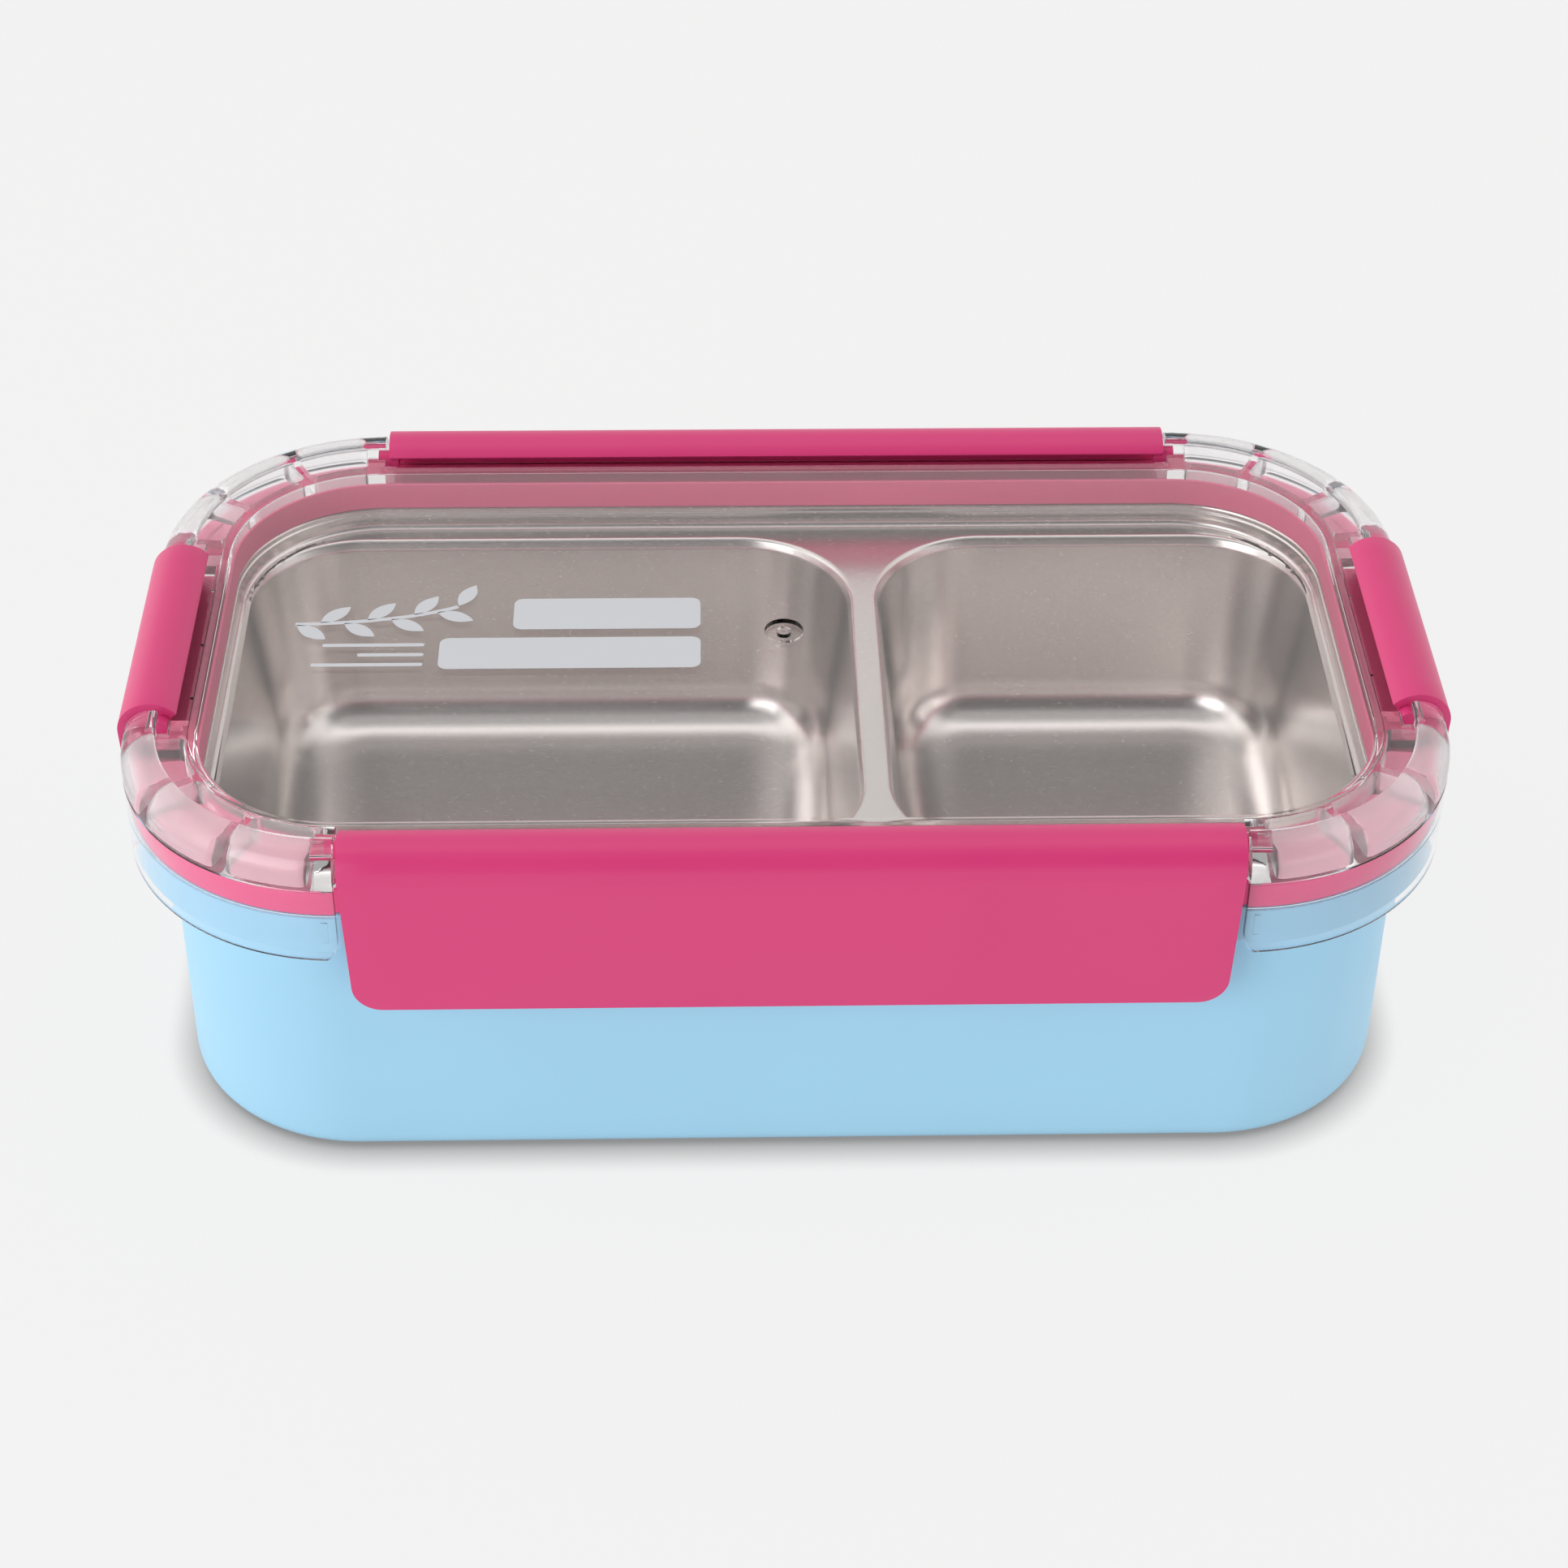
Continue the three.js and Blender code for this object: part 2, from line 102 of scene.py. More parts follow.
# %% [markdown]
# ## Camera, stage and light
# The box stands on a white sweep. A camera ray that meets the world sees one flat pale tone, and the
# floor glows at the same tone, so only a soft contact shadow shows; that shadow is painted into the
# glow. A bright tent stands all round, and two large lamps, overhead and front left, add to it: that is
# what gives steel and clear plastic their long soft highlights. The tent has a dark opening above the
# camera. The bed of the tray mirrors it by way of the back wall, so the bed looks dark while the walls
# stay light.

# %% Place the camera
VIEW_AZIMUTH = -1.62
VIEW_ELEVATION = 37.81
VIEW_ROLL = 0.53
VIEW_DISTANCE = 577.34
VIEW_TARGET = Vector((0.25, 0.0, 33.0))
VIEW_LENS = 76.18
SENSOR = 36.0


def place_camera():
    azimuth, elevation = math.radians(VIEW_AZIMUTH), math.radians(VIEW_ELEVATION)
    back = Vector((
        math.sin(azimuth) * math.cos(elevation),
        -math.cos(azimuth) * math.cos(elevation),
        math.sin(elevation),
    ))
    right = Vector((0, 0, 1)).cross(back).normalized()
    turn = Matrix((right, back.cross(right), back)).transposed()
    turn = Matrix.Rotation(math.radians(VIEW_ROLL), 3, back) @ turn
    data = bpy.data.cameras.new("view_camera")
    data.lens = VIEW_LENS
    data.sensor_width = SENSOR
    data.clip_start, data.clip_end = 0.01, 20.0
    camera = bpy.data.objects.new("view_camera", data)
    camera.matrix_world = turn.to_4x4()
    camera.location = (VIEW_TARGET + back * VIEW_DISTANCE) * MM
    bpy.context.scene.collection.objects.link(camera)
    bpy.context.scene.camera = camera


place_camera()


# %% [markdown]
# ### Node helpers
# Every shader and every Geometry Nodes tree is written with these three, so a node takes one line.

# %% Node helpers
def feed(tree, slot, value):
    """Link a socket to an input, or set the input to a value."""
    if isinstance(value, bpy.types.NodeSocket):
        tree.links.new(value, slot)
    else:
        slot.default_value = value


def add(tree, kind, **settings):
    """A node of that kind, with its properties and its inputs given by name."""
    node = tree.nodes.new(kind)
    for name, value in settings.items():
        if hasattr(node, name):
            setattr(node, name, value)
        else:
            feed(tree, node.inputs[name.replace("_", " ")], value)
    return node


def calc(tree, operation, *values, kind="ShaderNodeMath", result="Value"):
    """The result of a math node, or of a vector math node, from numbers and sockets in order."""
    node = add(tree, kind, operation=operation)
    for slot, value in zip(node.inputs, values):
        feed(tree, slot, value)
    return node.outputs[result]


# %% [markdown]
# ### The tent
# The tent's brightness is worked out from the direction of a ray: bright in front and overhead, dimmer
# behind, stronger from the left than from the right, and nearly dark in the opening.

# %% Paint the world
BACKDROP = (0.888, 0.888, 0.888, 1.0)
TENT_TOP = 1.05
TENT_FRONT = 1.12
TENT_BACK = 0.8
TENT_SIDES = 0.75
TENT_LEFT_SHARE = 1.15
TENT_RIGHT_SHARE = 0.25
TENT_OPENING = 0.02
OPENING_DIRECTION = (0.0, -0.64, 0.77)
OPENING_STRETCH = (0.6, 1.0, 1.0)


def tent_strength(tree):
    """How bright the tent is in the direction of the ray."""
    ray = add(tree, "ShaderNodeTexCoord").outputs["Generated"]
    axes = add(tree, "ShaderNodeSeparateXYZ", Vector=ray).outputs
    walls = add(
        tree, "ShaderNodeMapRange", Value=axes["Y"], From_Min=-0.5, From_Max=0.35,
        To_Min=TENT_FRONT, To_Max=TENT_BACK,
    ).outputs[0]
    height = add(tree, "ShaderNodeMapRange", Value=axes["Z"], From_Min=0.78, From_Max=0.98).outputs[0]
    tent = add(tree, "ShaderNodeMix", data_type="FLOAT", Factor=height, A=walls, B=TENT_TOP).outputs[0]
    vectors = {"kind": "ShaderNodeVectorMath", "result": "Vector"}
    stretched = calc(tree, "MULTIPLY", ray, OPENING_STRETCH, **vectors)
    unit = calc(tree, "NORMALIZE", stretched, **vectors)
    facing = calc(tree, "DOT_PRODUCT", unit, OPENING_DIRECTION, kind="ShaderNodeVectorMath")
    opening = add(
        tree, "ShaderNodeMapRange", interpolation_type="SMOOTHSTEP",
        Value=facing, From_Min=0.71, From_Max=0.89,
    ).outputs[0]
    pierced = add(
        tree, "ShaderNodeMix", data_type="FLOAT", Factor=opening, A=tent, B=TENT_OPENING,
    ).outputs[0]
    aside = calc(tree, "ABSOLUTE", axes["X"])
    sides = add(
        tree, "ShaderNodeMapRange", Value=aside, From_Min=0.35, From_Max=0.9, To_Max=TENT_SIDES,
    ).outputs[0]
    share = add(
        tree, "ShaderNodeMapRange", Value=axes["X"], From_Min=-1.0, From_Max=1.0,
        To_Min=TENT_LEFT_SHARE, To_Max=TENT_RIGHT_SHARE,
    ).outputs[0]
    return calc(tree, "ADD", pierced, calc(tree, "MULTIPLY", sides, share))


def paint_world():
    world = bpy.data.worlds.new("light_tent")
    bpy.context.scene.world = world
    world.use_nodes = True
    tree = world.node_tree
    tree.nodes.clear()
    tent = add(tree, "ShaderNodeBackground", Color=(1.0, 0.985, 0.965, 1.0), Strength=tent_strength(tree))
    seen = add(tree, "ShaderNodeBackground", Color=BACKDROP, Strength=1.0)
    choose = add(tree, "ShaderNodeMixShader")
    camera_ray = add(tree, "ShaderNodeLightPath").outputs["Is Camera Ray"]
    for slot, value in zip(choose.inputs, (camera_ray, tent.outputs[0], seen.outputs[0])):
        feed(tree, slot, value)
    add(tree, "ShaderNodeOutputWorld", Surface=choose.outputs[0])


paint_world()
bpy.context.scene.view_settings.view_transform = "Standard"
print("tent: front", TENT_FRONT, "back", TENT_BACK, "opening", TENT_OPENING)

# %% [markdown]
# ### The lamps
# A wide lamp overhead gives the upper edges their highlight. A second one at the front left is the key
# light, so the right end of the case falls a little darker.

# %% Hang the lamps
def soft_lamp(name, place, size, power):
    """A rectangular lamp that faces the middle of the box. Places and sizes are in metres."""
    data = bpy.data.lights.new(name, "AREA")
    data.shape = "RECTANGLE"
    data.size, data.size_y = size
    data.energy = power
    lamp = bpy.data.objects.new(name, data)
    lamp.location = place
    aim = Vector((0, 0, 0.03)) - Vector(place)
    lamp.rotation_euler = aim.to_track_quat("-Z", "Y").to_euler()
    bpy.context.scene.collection.objects.link(lamp)
    print(name, "at", place)


soft_lamp("lamp_overhead", (0.0, -0.25, 1.3), (1.6, 1.0), 2.0)
soft_lamp("lamp_front_left", (-0.9, -1.1, 0.8), (0.9, 0.9), 6.5)


# %% [markdown]
# ### The floor
# The floor glows like a light table, so it has the tone of the backdrop wherever the box stands, and
# the only shadow is the thin dark line of contact, a painted shadow: ambient occlusion dims the glow
# where something nearly touches the floor.

# %% Lay the floor
FLOOR_SIZE = 6.0
FLOOR_GLOW = 0.84
CONTACT_REACH = 0.007


def light_table():
    """A glowing surface with a painted contact shadow: the glow darkens where something nearly touches
    it.
    """
    table = bpy.data.materials.new("floor_light_table")
    table.use_nodes = True
    tree = table.node_tree
    shader = tree.nodes["Principled BSDF"]
    shader.inputs["Base Color"].default_value = (0.06, 0.06, 0.06, 1.0)
    shader.inputs["Roughness"].default_value = 0.9
    shader.inputs["Specular IOR Level"].default_value = 0.0
    shader.inputs["Emission Strength"].default_value = 1.0
    # Painted shadow: the glow is dimmed where the ambient occlusion reading finds the box close by.
    contact = add(tree, "ShaderNodeAmbientOcclusion", samples=16, Distance=CONTACT_REACH)
    glow_with_painted_shadow = add(
        tree, "ShaderNodeMapRange", Value=contact.outputs["AO"], From_Min=0.25, From_Max=0.95,
        To_Min=0.25, To_Max=FLOOR_GLOW,
    ).outputs[0]
    grey = add(tree, "ShaderNodeCombineColor", Red=glow_with_painted_shadow, Green=glow_with_painted_shadow, Blue=glow_with_painted_shadow)
    feed(tree, shader.inputs["Emission Color"], grey.outputs[0])
    return table


def lay_floor():
    half = FLOOR_SIZE / 2
    mesh = bpy.data.meshes.new("floor")
    corners = [(-half, -half, 0), (half, -half, 0), (half, half, 0), (-half, half, 0)]
    mesh.from_pydata(corners, [], [(0, 1, 2, 3)])
    mesh.materials.append(light_table())
    floor = bpy.data.objects.new("floor", mesh)
    bpy.context.scene.collection.objects.link(floor)


lay_floor()

# %% [markdown]
# ## Materials
# Moulded polypropylene is satin and very even, so what makes it look real is small: a slow drift of
# colour from the flow of the melt, a finer drift of gloss from handling, and a spark-eroded grain a
# fifth of a millimetre across. Each material is one Principled shader whose colour, roughness and bump
# come from noise in object coordinates, so the pattern keeps its real scale and stays on the piece.


# %% Moulded plastics
GLOSS_DRIFT = 0.06


def surface(name):
    """A new material, its tree, its Principled shader and the object coordinates."""
    material = bpy.data.materials.new(name)
    material.use_nodes = True
    tree = material.node_tree
    place = add(tree, "ShaderNodeTexCoord").outputs["Object"]
    return material, tree, tree.nodes["Principled BSDF"], place


def relief(tree, shader, height, strength, depth):
    """A bump of that depth, in millimetres, on the shader's normal."""
    bump = add(tree, "ShaderNodeBump", Strength=strength, Distance=depth * MM, Height=height)
    feed(tree, shader.inputs["Normal"], bump.outputs[0])


def moulded(name, colour, roughness, grain=0.02, drift=0.03):
    """Satin plastic. Grain is the depth of the mould texture in millimetres."""
    material, tree, shader, place = surface(name)
    flow = add(tree, "ShaderNodeTexNoise", Vector=place, Scale=28.0, Detail=3.0, Distortion=0.6)
    shade = add(tree, "ShaderNodeMix", data_type="RGBA", Factor=flow.outputs["Fac"])
    shade.inputs["A"].default_value = (*[c * (1 - drift) for c in colour], 1.0)
    shade.inputs["B"].default_value = (*[min(c * (1 + drift), 1.0) for c in colour], 1.0)
    feed(tree, shader.inputs["Base Color"], shade.outputs["Result"])
    handling = add(tree, "ShaderNodeTexNoise", Vector=place, Scale=140.0, Detail=5.0, Roughness=0.7)
    gloss = add(
        tree, "ShaderNodeMapRange", Value=handling.outputs["Fac"],
        To_Min=roughness - GLOSS_DRIFT, To_Max=roughness + GLOSS_DRIFT,
    )
    feed(tree, shader.inputs["Roughness"], gloss.outputs[0])
    texture = add(tree, "ShaderNodeTexNoise", Vector=place, Scale=4500.0, Detail=2.0)
    relief(tree, shader, texture.outputs["Fac"], 0.25, grain)
    shader.inputs["IOR"].default_value = 1.49
    return material


case_blue = moulded("case_blue_plastic", (0.37, 0.69, 0.92), 0.42)
frame_pink = moulded("frame_pink_plastic", (0.88, 0.085, 0.27), 0.38)
latch_pink = moulded("latch_pink_plastic", (0.71, 0.043, 0.197), 0.36)
seal_pink = moulded("seal_pink_silicone", (0.88, 0.13, 0.28), 0.55, grain=0.01, drift=0.05)
print_white = moulded("print_white_ink", (0.64, 0.655, 0.70), 0.5, grain=0.005, drift=0.02)
print("plastics:", case_blue.name, frame_pink.name, latch_pink.name, seal_pink.name, print_white.name)


# %% [markdown]
# ### Steel
# The tray is stamped from rolled sheet with a fine satin finish. Its grain is a stretched noise along
# the rolling direction, and drawing the sheet into the compartments leaves the gloss a little uneven.
# Roughness near a quarter blurs the tent's panels into the broad soft bands that such a tray shows.

# %% Satin steel
def satin_steel(name):
    material, tree, shader, place = surface(name)
    clouds = add(tree, "ShaderNodeTexNoise", Vector=place, Scale=22.0, Detail=4.0)
    tone = add(tree, "ShaderNodeMix", data_type="RGBA", Factor=clouds.outputs["Fac"])
    tone.inputs["A"].default_value = (0.75, 0.704, 0.682, 1.0)
    tone.inputs["B"].default_value = (0.81, 0.764, 0.742, 1.0)
    feed(tree, shader.inputs["Base Color"], tone.outputs["Result"])
    shader.inputs["Metallic"].default_value = 1.0
    stretched = add(tree, "ShaderNodeMapping", Vector=place, Scale=(1.0, 6.0, 6.0)).outputs[0]
    grain = add(
        tree, "ShaderNodeTexNoise", Vector=stretched, Scale=900.0, Detail=3.0, Roughness=0.65,
    ).outputs["Fac"]
    gloss = add(tree, "ShaderNodeMapRange", Value=grain, To_Min=0.20, To_Max=0.31)
    feed(tree, shader.inputs["Roughness"], gloss.outputs[0])
    relief(tree, shader, grain, 0.12, 0.01)
    return material


tray_steel = satin_steel("tray_satin_steel")


# %% [markdown]
# ### Clear plastic
# The lid is polished AS resin with an index of 1.5. Glass shaders darken what lies under them, because
# lamps can't be found through a bending surface, so rays from lamps meet a plain transparent shader
# instead. Fine wipe marks vary the roughness, and a slow noise bends the surface as cooling does.

# %% Clear resin
def clear_resin(name, frost=0.0, passing=1.0):
    """Polished where frost is nothing; a spark-eroded mould face has a frost near a third."""
    material, tree, shader, place = surface(name)
    shader.inputs["Base Color"].default_value = (0.985, 0.985, 0.99, 1.0)
    shader.inputs["Transmission Weight"].default_value = passing
    shader.inputs["IOR"].default_value = 1.45
    wipe = add(tree, "ShaderNodeTexNoise", Vector=place, Scale=160.0, Detail=4.0, Roughness=0.7)
    gloss = add(
        tree, "ShaderNodeMapRange", Value=wipe.outputs["Fac"], From_Min=0.35, From_Max=0.9,
        To_Min=frost, To_Max=frost + 0.05,
    )
    feed(tree, shader.inputs["Roughness"], gloss.outputs[0])
    cooling = add(tree, "ShaderNodeTexNoise", Vector=place, Scale=35.0, Detail=1.0)
    relief(tree, shader, cooling.outputs["Fac"], 0.2, 0.05)
    straight = add(tree, "ShaderNodeBsdfTransparent", Color=(0.93, 0.93, 0.94, 1.0))
    lamp_ray = add(tree, "ShaderNodeLightPath").outputs["Is Shadow Ray"]
    choose = add(tree, "ShaderNodeMixShader")
    for slot, value in zip(choose.inputs, (lamp_ray, shader.outputs[0], straight.outputs[0])):
        feed(tree, slot, value)
    feed(tree, tree.nodes["Material Output"].inputs["Surface"], choose.outputs[0])
    return material


lid_clear = clear_resin("lid_clear_resin")
lid_frost = clear_resin("lid_frosted_resin", frost=0.3, passing=0.86)

# %% [markdown]
# ## Sections and sweeps
# A moulded wall is its section, drawn once, swept round the outline of the box. The section is drawn as
# corners with radii, which is how a toolmaker dimensions it, and a small helper turns every corner into
# an arc. The sweep itself is a Geometry Nodes tree: a filleted rectangle is the path, and Curve to Mesh
# carries the section round it. The same tree makes the case, the frame, the seal, the compartments and
# the lid, because only the section and the plan change.

# %% Round the corners of a section
ARC_STEPS = 6


def rounded(corners, closed=True, steps=ARC_STEPS):
    """Corners (offset, height, radius) as a dense path of points, with an arc at each corner."""
    points = [Vector(c[:2]) for c in corners]
    path = []
    for i, corner in enumerate(corners):
        radius = corner[2] if len(corner) > 2 else 0.0
        at_end = not closed and i in (0, len(corners) - 1)
        if radius <= 0 or at_end:
            path.append(points[i])
            continue
        before = (points[i - 1] - points[i]).normalized()
        after = (points[(i + 1) % len(points)] - points[i]).normalized()
        half = before.angle(after) / 2
        reach = radius / math.tan(half)
        centre = points[i] + (before + after).normalized() * (radius / math.sin(half))
        start = points[i] + before * reach - centre
        end = points[i] + after * reach - centre
        sweep = start.angle_signed(end)
        for k in range(steps + 1):
            path.append(centre + Matrix.Rotation(-sweep * k / steps, 2) @ start)
    return path


# %% [markdown]
# The drawn path becomes a mesh of edges. Its second axis is flipped, because the sweep turns it over.

# %% Draw a section as a mesh of edges
def section_object(name, path, closed=True):
    mesh = bpy.data.meshes.new(name)
    count = len(path)
    edges = [(i, (i + 1) % count) for i in range(count if closed else count - 1)]
    mesh.from_pydata([(p.x * MM, -p.y * MM, 0) for p in path], edges, [])
    return bpy.data.objects.new(name, mesh)


# %% [markdown]
# ### The sweep tree
# A rectangle with filleted corners is the path. The section is a mesh of edges in an object of its own,
# and the tree turns it into a curve and carries it round.

# %% Build the sweep tree
def new_tree(name, **sockets):
    """A tree with named inputs and their defaults. Vector or Object stands for an input of that kind."""
    tree = bpy.data.node_groups.new(name, "GeometryNodeTree")
    for label, default in sockets.items():
        kind = "Int" if isinstance(default, int) else "Float"
        if default in (Vector, bpy.types.Object):
            kind = default.__name__
        item = tree.interface.new_socket(
            label.replace("_", " "), in_out="INPUT", socket_type="NodeSocket" + kind,
        )
        if kind in ("Int", "Float"):
            item.default_value = default
    tree.interface.new_socket("Material", in_out="INPUT", socket_type="NodeSocketMaterial")
    tree.interface.new_socket("Geometry", in_out="OUTPUT", socket_type="NodeSocketGeometry")
    return tree, add(tree, "NodeGroupInput").outputs


def finish_tree(tree, sizes, geometry):
    """End a tree: realize the instances, set the material and give the result out."""
    real = add(tree, "GeometryNodeRealizeInstances", Geometry=geometry)
    paint = add(tree, "GeometryNodeSetMaterial", Geometry=real.outputs[0], Material=sizes["Material"])
    feed(tree, add(tree, "NodeGroupOutput").inputs[0], paint.outputs[0])
    return tree


def sweep_tree():
    """Geometry Nodes: a section swept round a rounded rectangle."""
    tree, sizes = new_tree(
        "sweep_round_the_box", Length=0.2, Depth=0.1, Corner_Radius=0.03, Corner_Steps=32,
        Section=bpy.types.Object,
    )
    plan = add(
        tree, "GeometryNodeCurvePrimitiveQuadrilateral", mode="RECTANGLE",
        Width=sizes["Length"], Height=sizes["Depth"],
    )
    fillet = add(
        tree, "GeometryNodeFilletCurve", mode="POLY", Curve=plan.outputs[0],
        Count=sizes["Corner Steps"], Radius=sizes["Corner Radius"],
    )
    upright = add(tree, "GeometryNodeSetCurveNormal", mode="Z_UP", Curve=fillet.outputs[0])
    drawn = add(tree, "GeometryNodeObjectInfo", Object=sizes["Section"])
    profile = add(tree, "GeometryNodeMeshToCurve", Mesh=drawn.outputs["Geometry"])
    carry = add(
        tree, "GeometryNodeCurveToMesh", Curve=upright.outputs[0], Profile_Curve=profile.outputs[0],
    )
    return finish_tree(tree, sizes, carry.outputs[0])


SWEEP = sweep_tree()


# %% [markdown]
# ### From a tree to a mesh
# A tree runs in a modifier on an empty object. Its result is copied out as a plain mesh, and the holder
# is thrown away.

# %% Run a tree and keep the plain mesh
def grown(name, tree, **inputs):
    """The result of a Geometry Nodes tree as a plain mesh. Inputs are given by the sockets' names."""
    holder = bpy.data.objects.new(name + "_holder", bpy.data.meshes.new(name + "_holder"))
    bpy.context.scene.collection.objects.link(holder)
    modifier = holder.modifiers.new("grow", "NODES")
    modifier.node_group = tree
    wanted = {key.replace("_", " "): value for key, value in inputs.items()}
    for item in tree.interface.items_tree:
        if item.item_type == "SOCKET" and item.in_out == "INPUT" and item.name in wanted:
            modifier[item.identifier] = wanted[item.name]
    evaluated = holder.evaluated_get(bpy.context.evaluated_depsgraph_get())
    mesh = bpy.data.meshes.new_from_object(evaluated)
    mesh.name = name
    bpy.data.objects.remove(holder)
    return mesh


# A rounded rectangle in plan, in millimetres. Middle is how far it is set off along the box.
Plan = namedtuple("Plan", "half_length half_depth radius middle", defaults=(0.0,))
BODY = Plan(HALF_LENGTH, HALF_DEPTH, CORNER_RADIUS)
CORNER_STEPS = 32


def swept(name, path, material, closed=True, plan=BODY, steps=CORNER_STEPS):
    """A bmesh of a section swept round a plan, with any open loop left open."""
    section = section_object(name + "_section", path, closed)
    mesh = grown(
        name, SWEEP, Length=2 * plan.half_length * MM, Depth=2 * plan.half_depth * MM,
        Corner_Radius=plan.radius * MM, Corner_Steps=steps, Section=section, Material=material,
    )
    shape = bmesh.new()
    shape.from_mesh(mesh)
    bmesh.ops.translate(shape, verts=shape.verts, vec=(plan.middle * MM, 0, 0))
    bpy.data.meshes.remove(mesh)
    return shape


# %% [markdown]
# ### From a shell to a piece
# A swept section leaves a ring. Where a wall carries on as a floor, the ring's open loop is closed with
# one flat face. Solids are then joined or cut, as a toolmaker adds and removes inserts, and each result
# gets smooth shading with only its true edges kept crisp.

# %% Solid helpers
def close_loops(shape):
    """Close every open loop with a flat face."""
    edges = [e for e in shape.edges if e.is_boundary]
    bmesh.ops.holes_fill(shape, edges=edges, sides=0)
    return shape


def face_outward(shape):
    bmesh.ops.recalc_face_normals(shape, faces=shape.faces)
    if shape.calc_volume(signed=True) < 0:
        bmesh.ops.reverse_faces(shape, faces=shape.faces)
    return shape


def extruded(outline, axis, start, end):
    """A closed outline (two coordinates, mm) pulled along x, y or z from start to end."""
    slots = {"x": (1, 2, 0), "y": (0, 2, 1), "z": (0, 1, 2)}[axis]
    shape = bmesh.new()
    rings = []
    for level in (start, end):
        ring = []
        for a, b in outline:
            place = [0.0, 0.0, 0.0]
            place[slots[0]], place[slots[1]], place[slots[2]] = a * MM, b * MM, level * MM
            ring.append(shape.verts.new(place))
        rings.append(ring)
    count = len(outline)
    for i in range(count):
        j = (i + 1) % count
        shape.faces.new((rings[0][i], rings[0][j], rings[1][j], rings[1][i]))
    shape.faces.new(rings[0][::-1])
    shape.faces.new(rings[1])
    return face_outward(shape)


def stacked(levels):
    """Outlines with the same count of points at rising heights, skinned into one solid."""
    shape = bmesh.new()
    rings = [[shape.verts.new((a * MM, b * MM, z * MM)) for a, b in outline] for z, outline in levels]
    count = len(rings[0])
    for low, high in zip(rings, rings[1:]):
        for i in range(count):
            j = (i + 1) % count
            shape.faces.new((low[i], low[j], high[j], high[i]))
    shape.faces.new(rings[0][::-1])
    shape.faces.new(rings[-1])
    return face_outward(shape)


def disc(radius, middle=(0.0, 0.0), steps=40):
    turn = 2 * math.pi / steps
    return [
        (middle[0] + radius * math.cos(turn * i), middle[1] + radius * math.sin(turn * i))
        for i in range(steps)
    ]


def as_object(shape, name, material=None):
    mesh = bpy.data.meshes.new(name)
    shape.to_mesh(mesh)
    shape.free()
    if material is not None and not mesh.materials:
        mesh.materials.append(material)
    return bpy.data.objects.new(name, mesh)


def ring(name, corners, material, steps=6, round_steps=40):
    """A section swept all round the box, as an object."""
    shape = swept(name, rounded(corners, steps=steps), material, steps=round_steps)
    return as_object(face_outward(shape), name)


def baked(thing):
    """Apply an object's modifiers: its mesh becomes the plain result."""
    linked = bpy.context.scene.collection.objects
    if thing.name not in linked:
        linked.link(thing)
    evaluated = thing.evaluated_get(bpy.context.evaluated_depsgraph_get())
    mesh = bpy.data.meshes.new_from_object(evaluated)
    thing.modifiers.clear()
    thing.data = mesh
    return thing


def combine(thing, shape, how, paint=0):
    """Join to, cut from or keep within a solid: UNION, DIFFERENCE or INTERSECT."""
    for face in shape.faces:
        face.material_index = paint
    other = as_object(shape, thing.name + "_tool")
    for mesh in (thing.data, other.data):
        while len(mesh.materials) < 2:
            mesh.materials.append(None)
    modifier = thing.modifiers.new("combine", "BOOLEAN")
    modifier.operation = how
    modifier.solver = "MANIFOLD"
    modifier.object = other
    baked(thing)
    if not len(thing.data.polygons):
        raise RuntimeError("nothing left of " + thing.name)
    bpy.data.objects.remove(other)
    return thing


def finish_piece(thing, node, body, materials, crisp=40.0):
    """Shade it, paint it and hand it to its body."""
    mesh = thing.data
    indices = [polygon.material_index for polygon in mesh.polygons]
    mesh.materials.clear()
    for material in materials:
        mesh.materials.append(material)
    for polygon, index in zip(mesh.polygons, indices):
        polygon.material_index = min(index, len(materials) - 1)
        polygon.use_smooth = True
    mesh.set_sharp_from_angle(angle=math.radians(crisp))
    if thing.name not in bpy.context.scene.collection.objects:
        bpy.context.scene.collection.objects.link(thing)
    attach(thing, body)
    if node:
        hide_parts(node)
    open_edges = count_open_edges(mesh)
    print(thing.name, "faces", len(mesh.polygons), "open edges", open_edges)
    return thing


def count_open_edges(mesh):
    uses = Counter(key for polygon in mesh.polygons for key in polygon.edge_keys)
    return sum(1 for n in uses.values() if n != 2)


# %% [markdown]
# ## The outer case
# The case is injection moulded in one shot: a floor, an upright wall and a rim that turns out and down.
# The turned rim stiffens the mouth, and its lower edge is the ledge that the latches hook under. One
# section holds it all. It starts under the floor, where a shallow recess leaves a foot ring to stand
# on, runs up the outside, round the rim, down the inside and back across the floor.

# %% Build the case
case_path = rounded([
    (-13.0, 0.7), (-8.0, 0.7, 0.3), (-7.4, 0.0, 0.3), (0.0, 0.0, 4.0), (0.0, 53.6, 0.8),
    (3.0, 53.6, 0.6), (3.0, 48.0, 0.35), (4.6, 48.0, 0.45), (4.6, 55.2, 0.5), (-1.8, 55.2, 0.5),
    (-1.8, 2.0, 2.2), (-13.0, 2.0),
], closed=False, steps=8)
case_shape = swept("outer_case_looks", case_path, case_blue, closed=False, steps=48)
case_piece = as_object(face_outward(close_loops(case_shape)), "outer_case_looks")
finish_piece(case_piece, "outer_case", "case", [case_blue])

# %% [markdown]
# ## The tray frame
# The pink frame drops on the rim of the case. Its shelf carries the flange of the steel tray, a short
# spigot reaches down inside the case so that it can't slide, and an outer band stands up round the
# flange. The band is what shows, pink, through the clear corners of the lid.

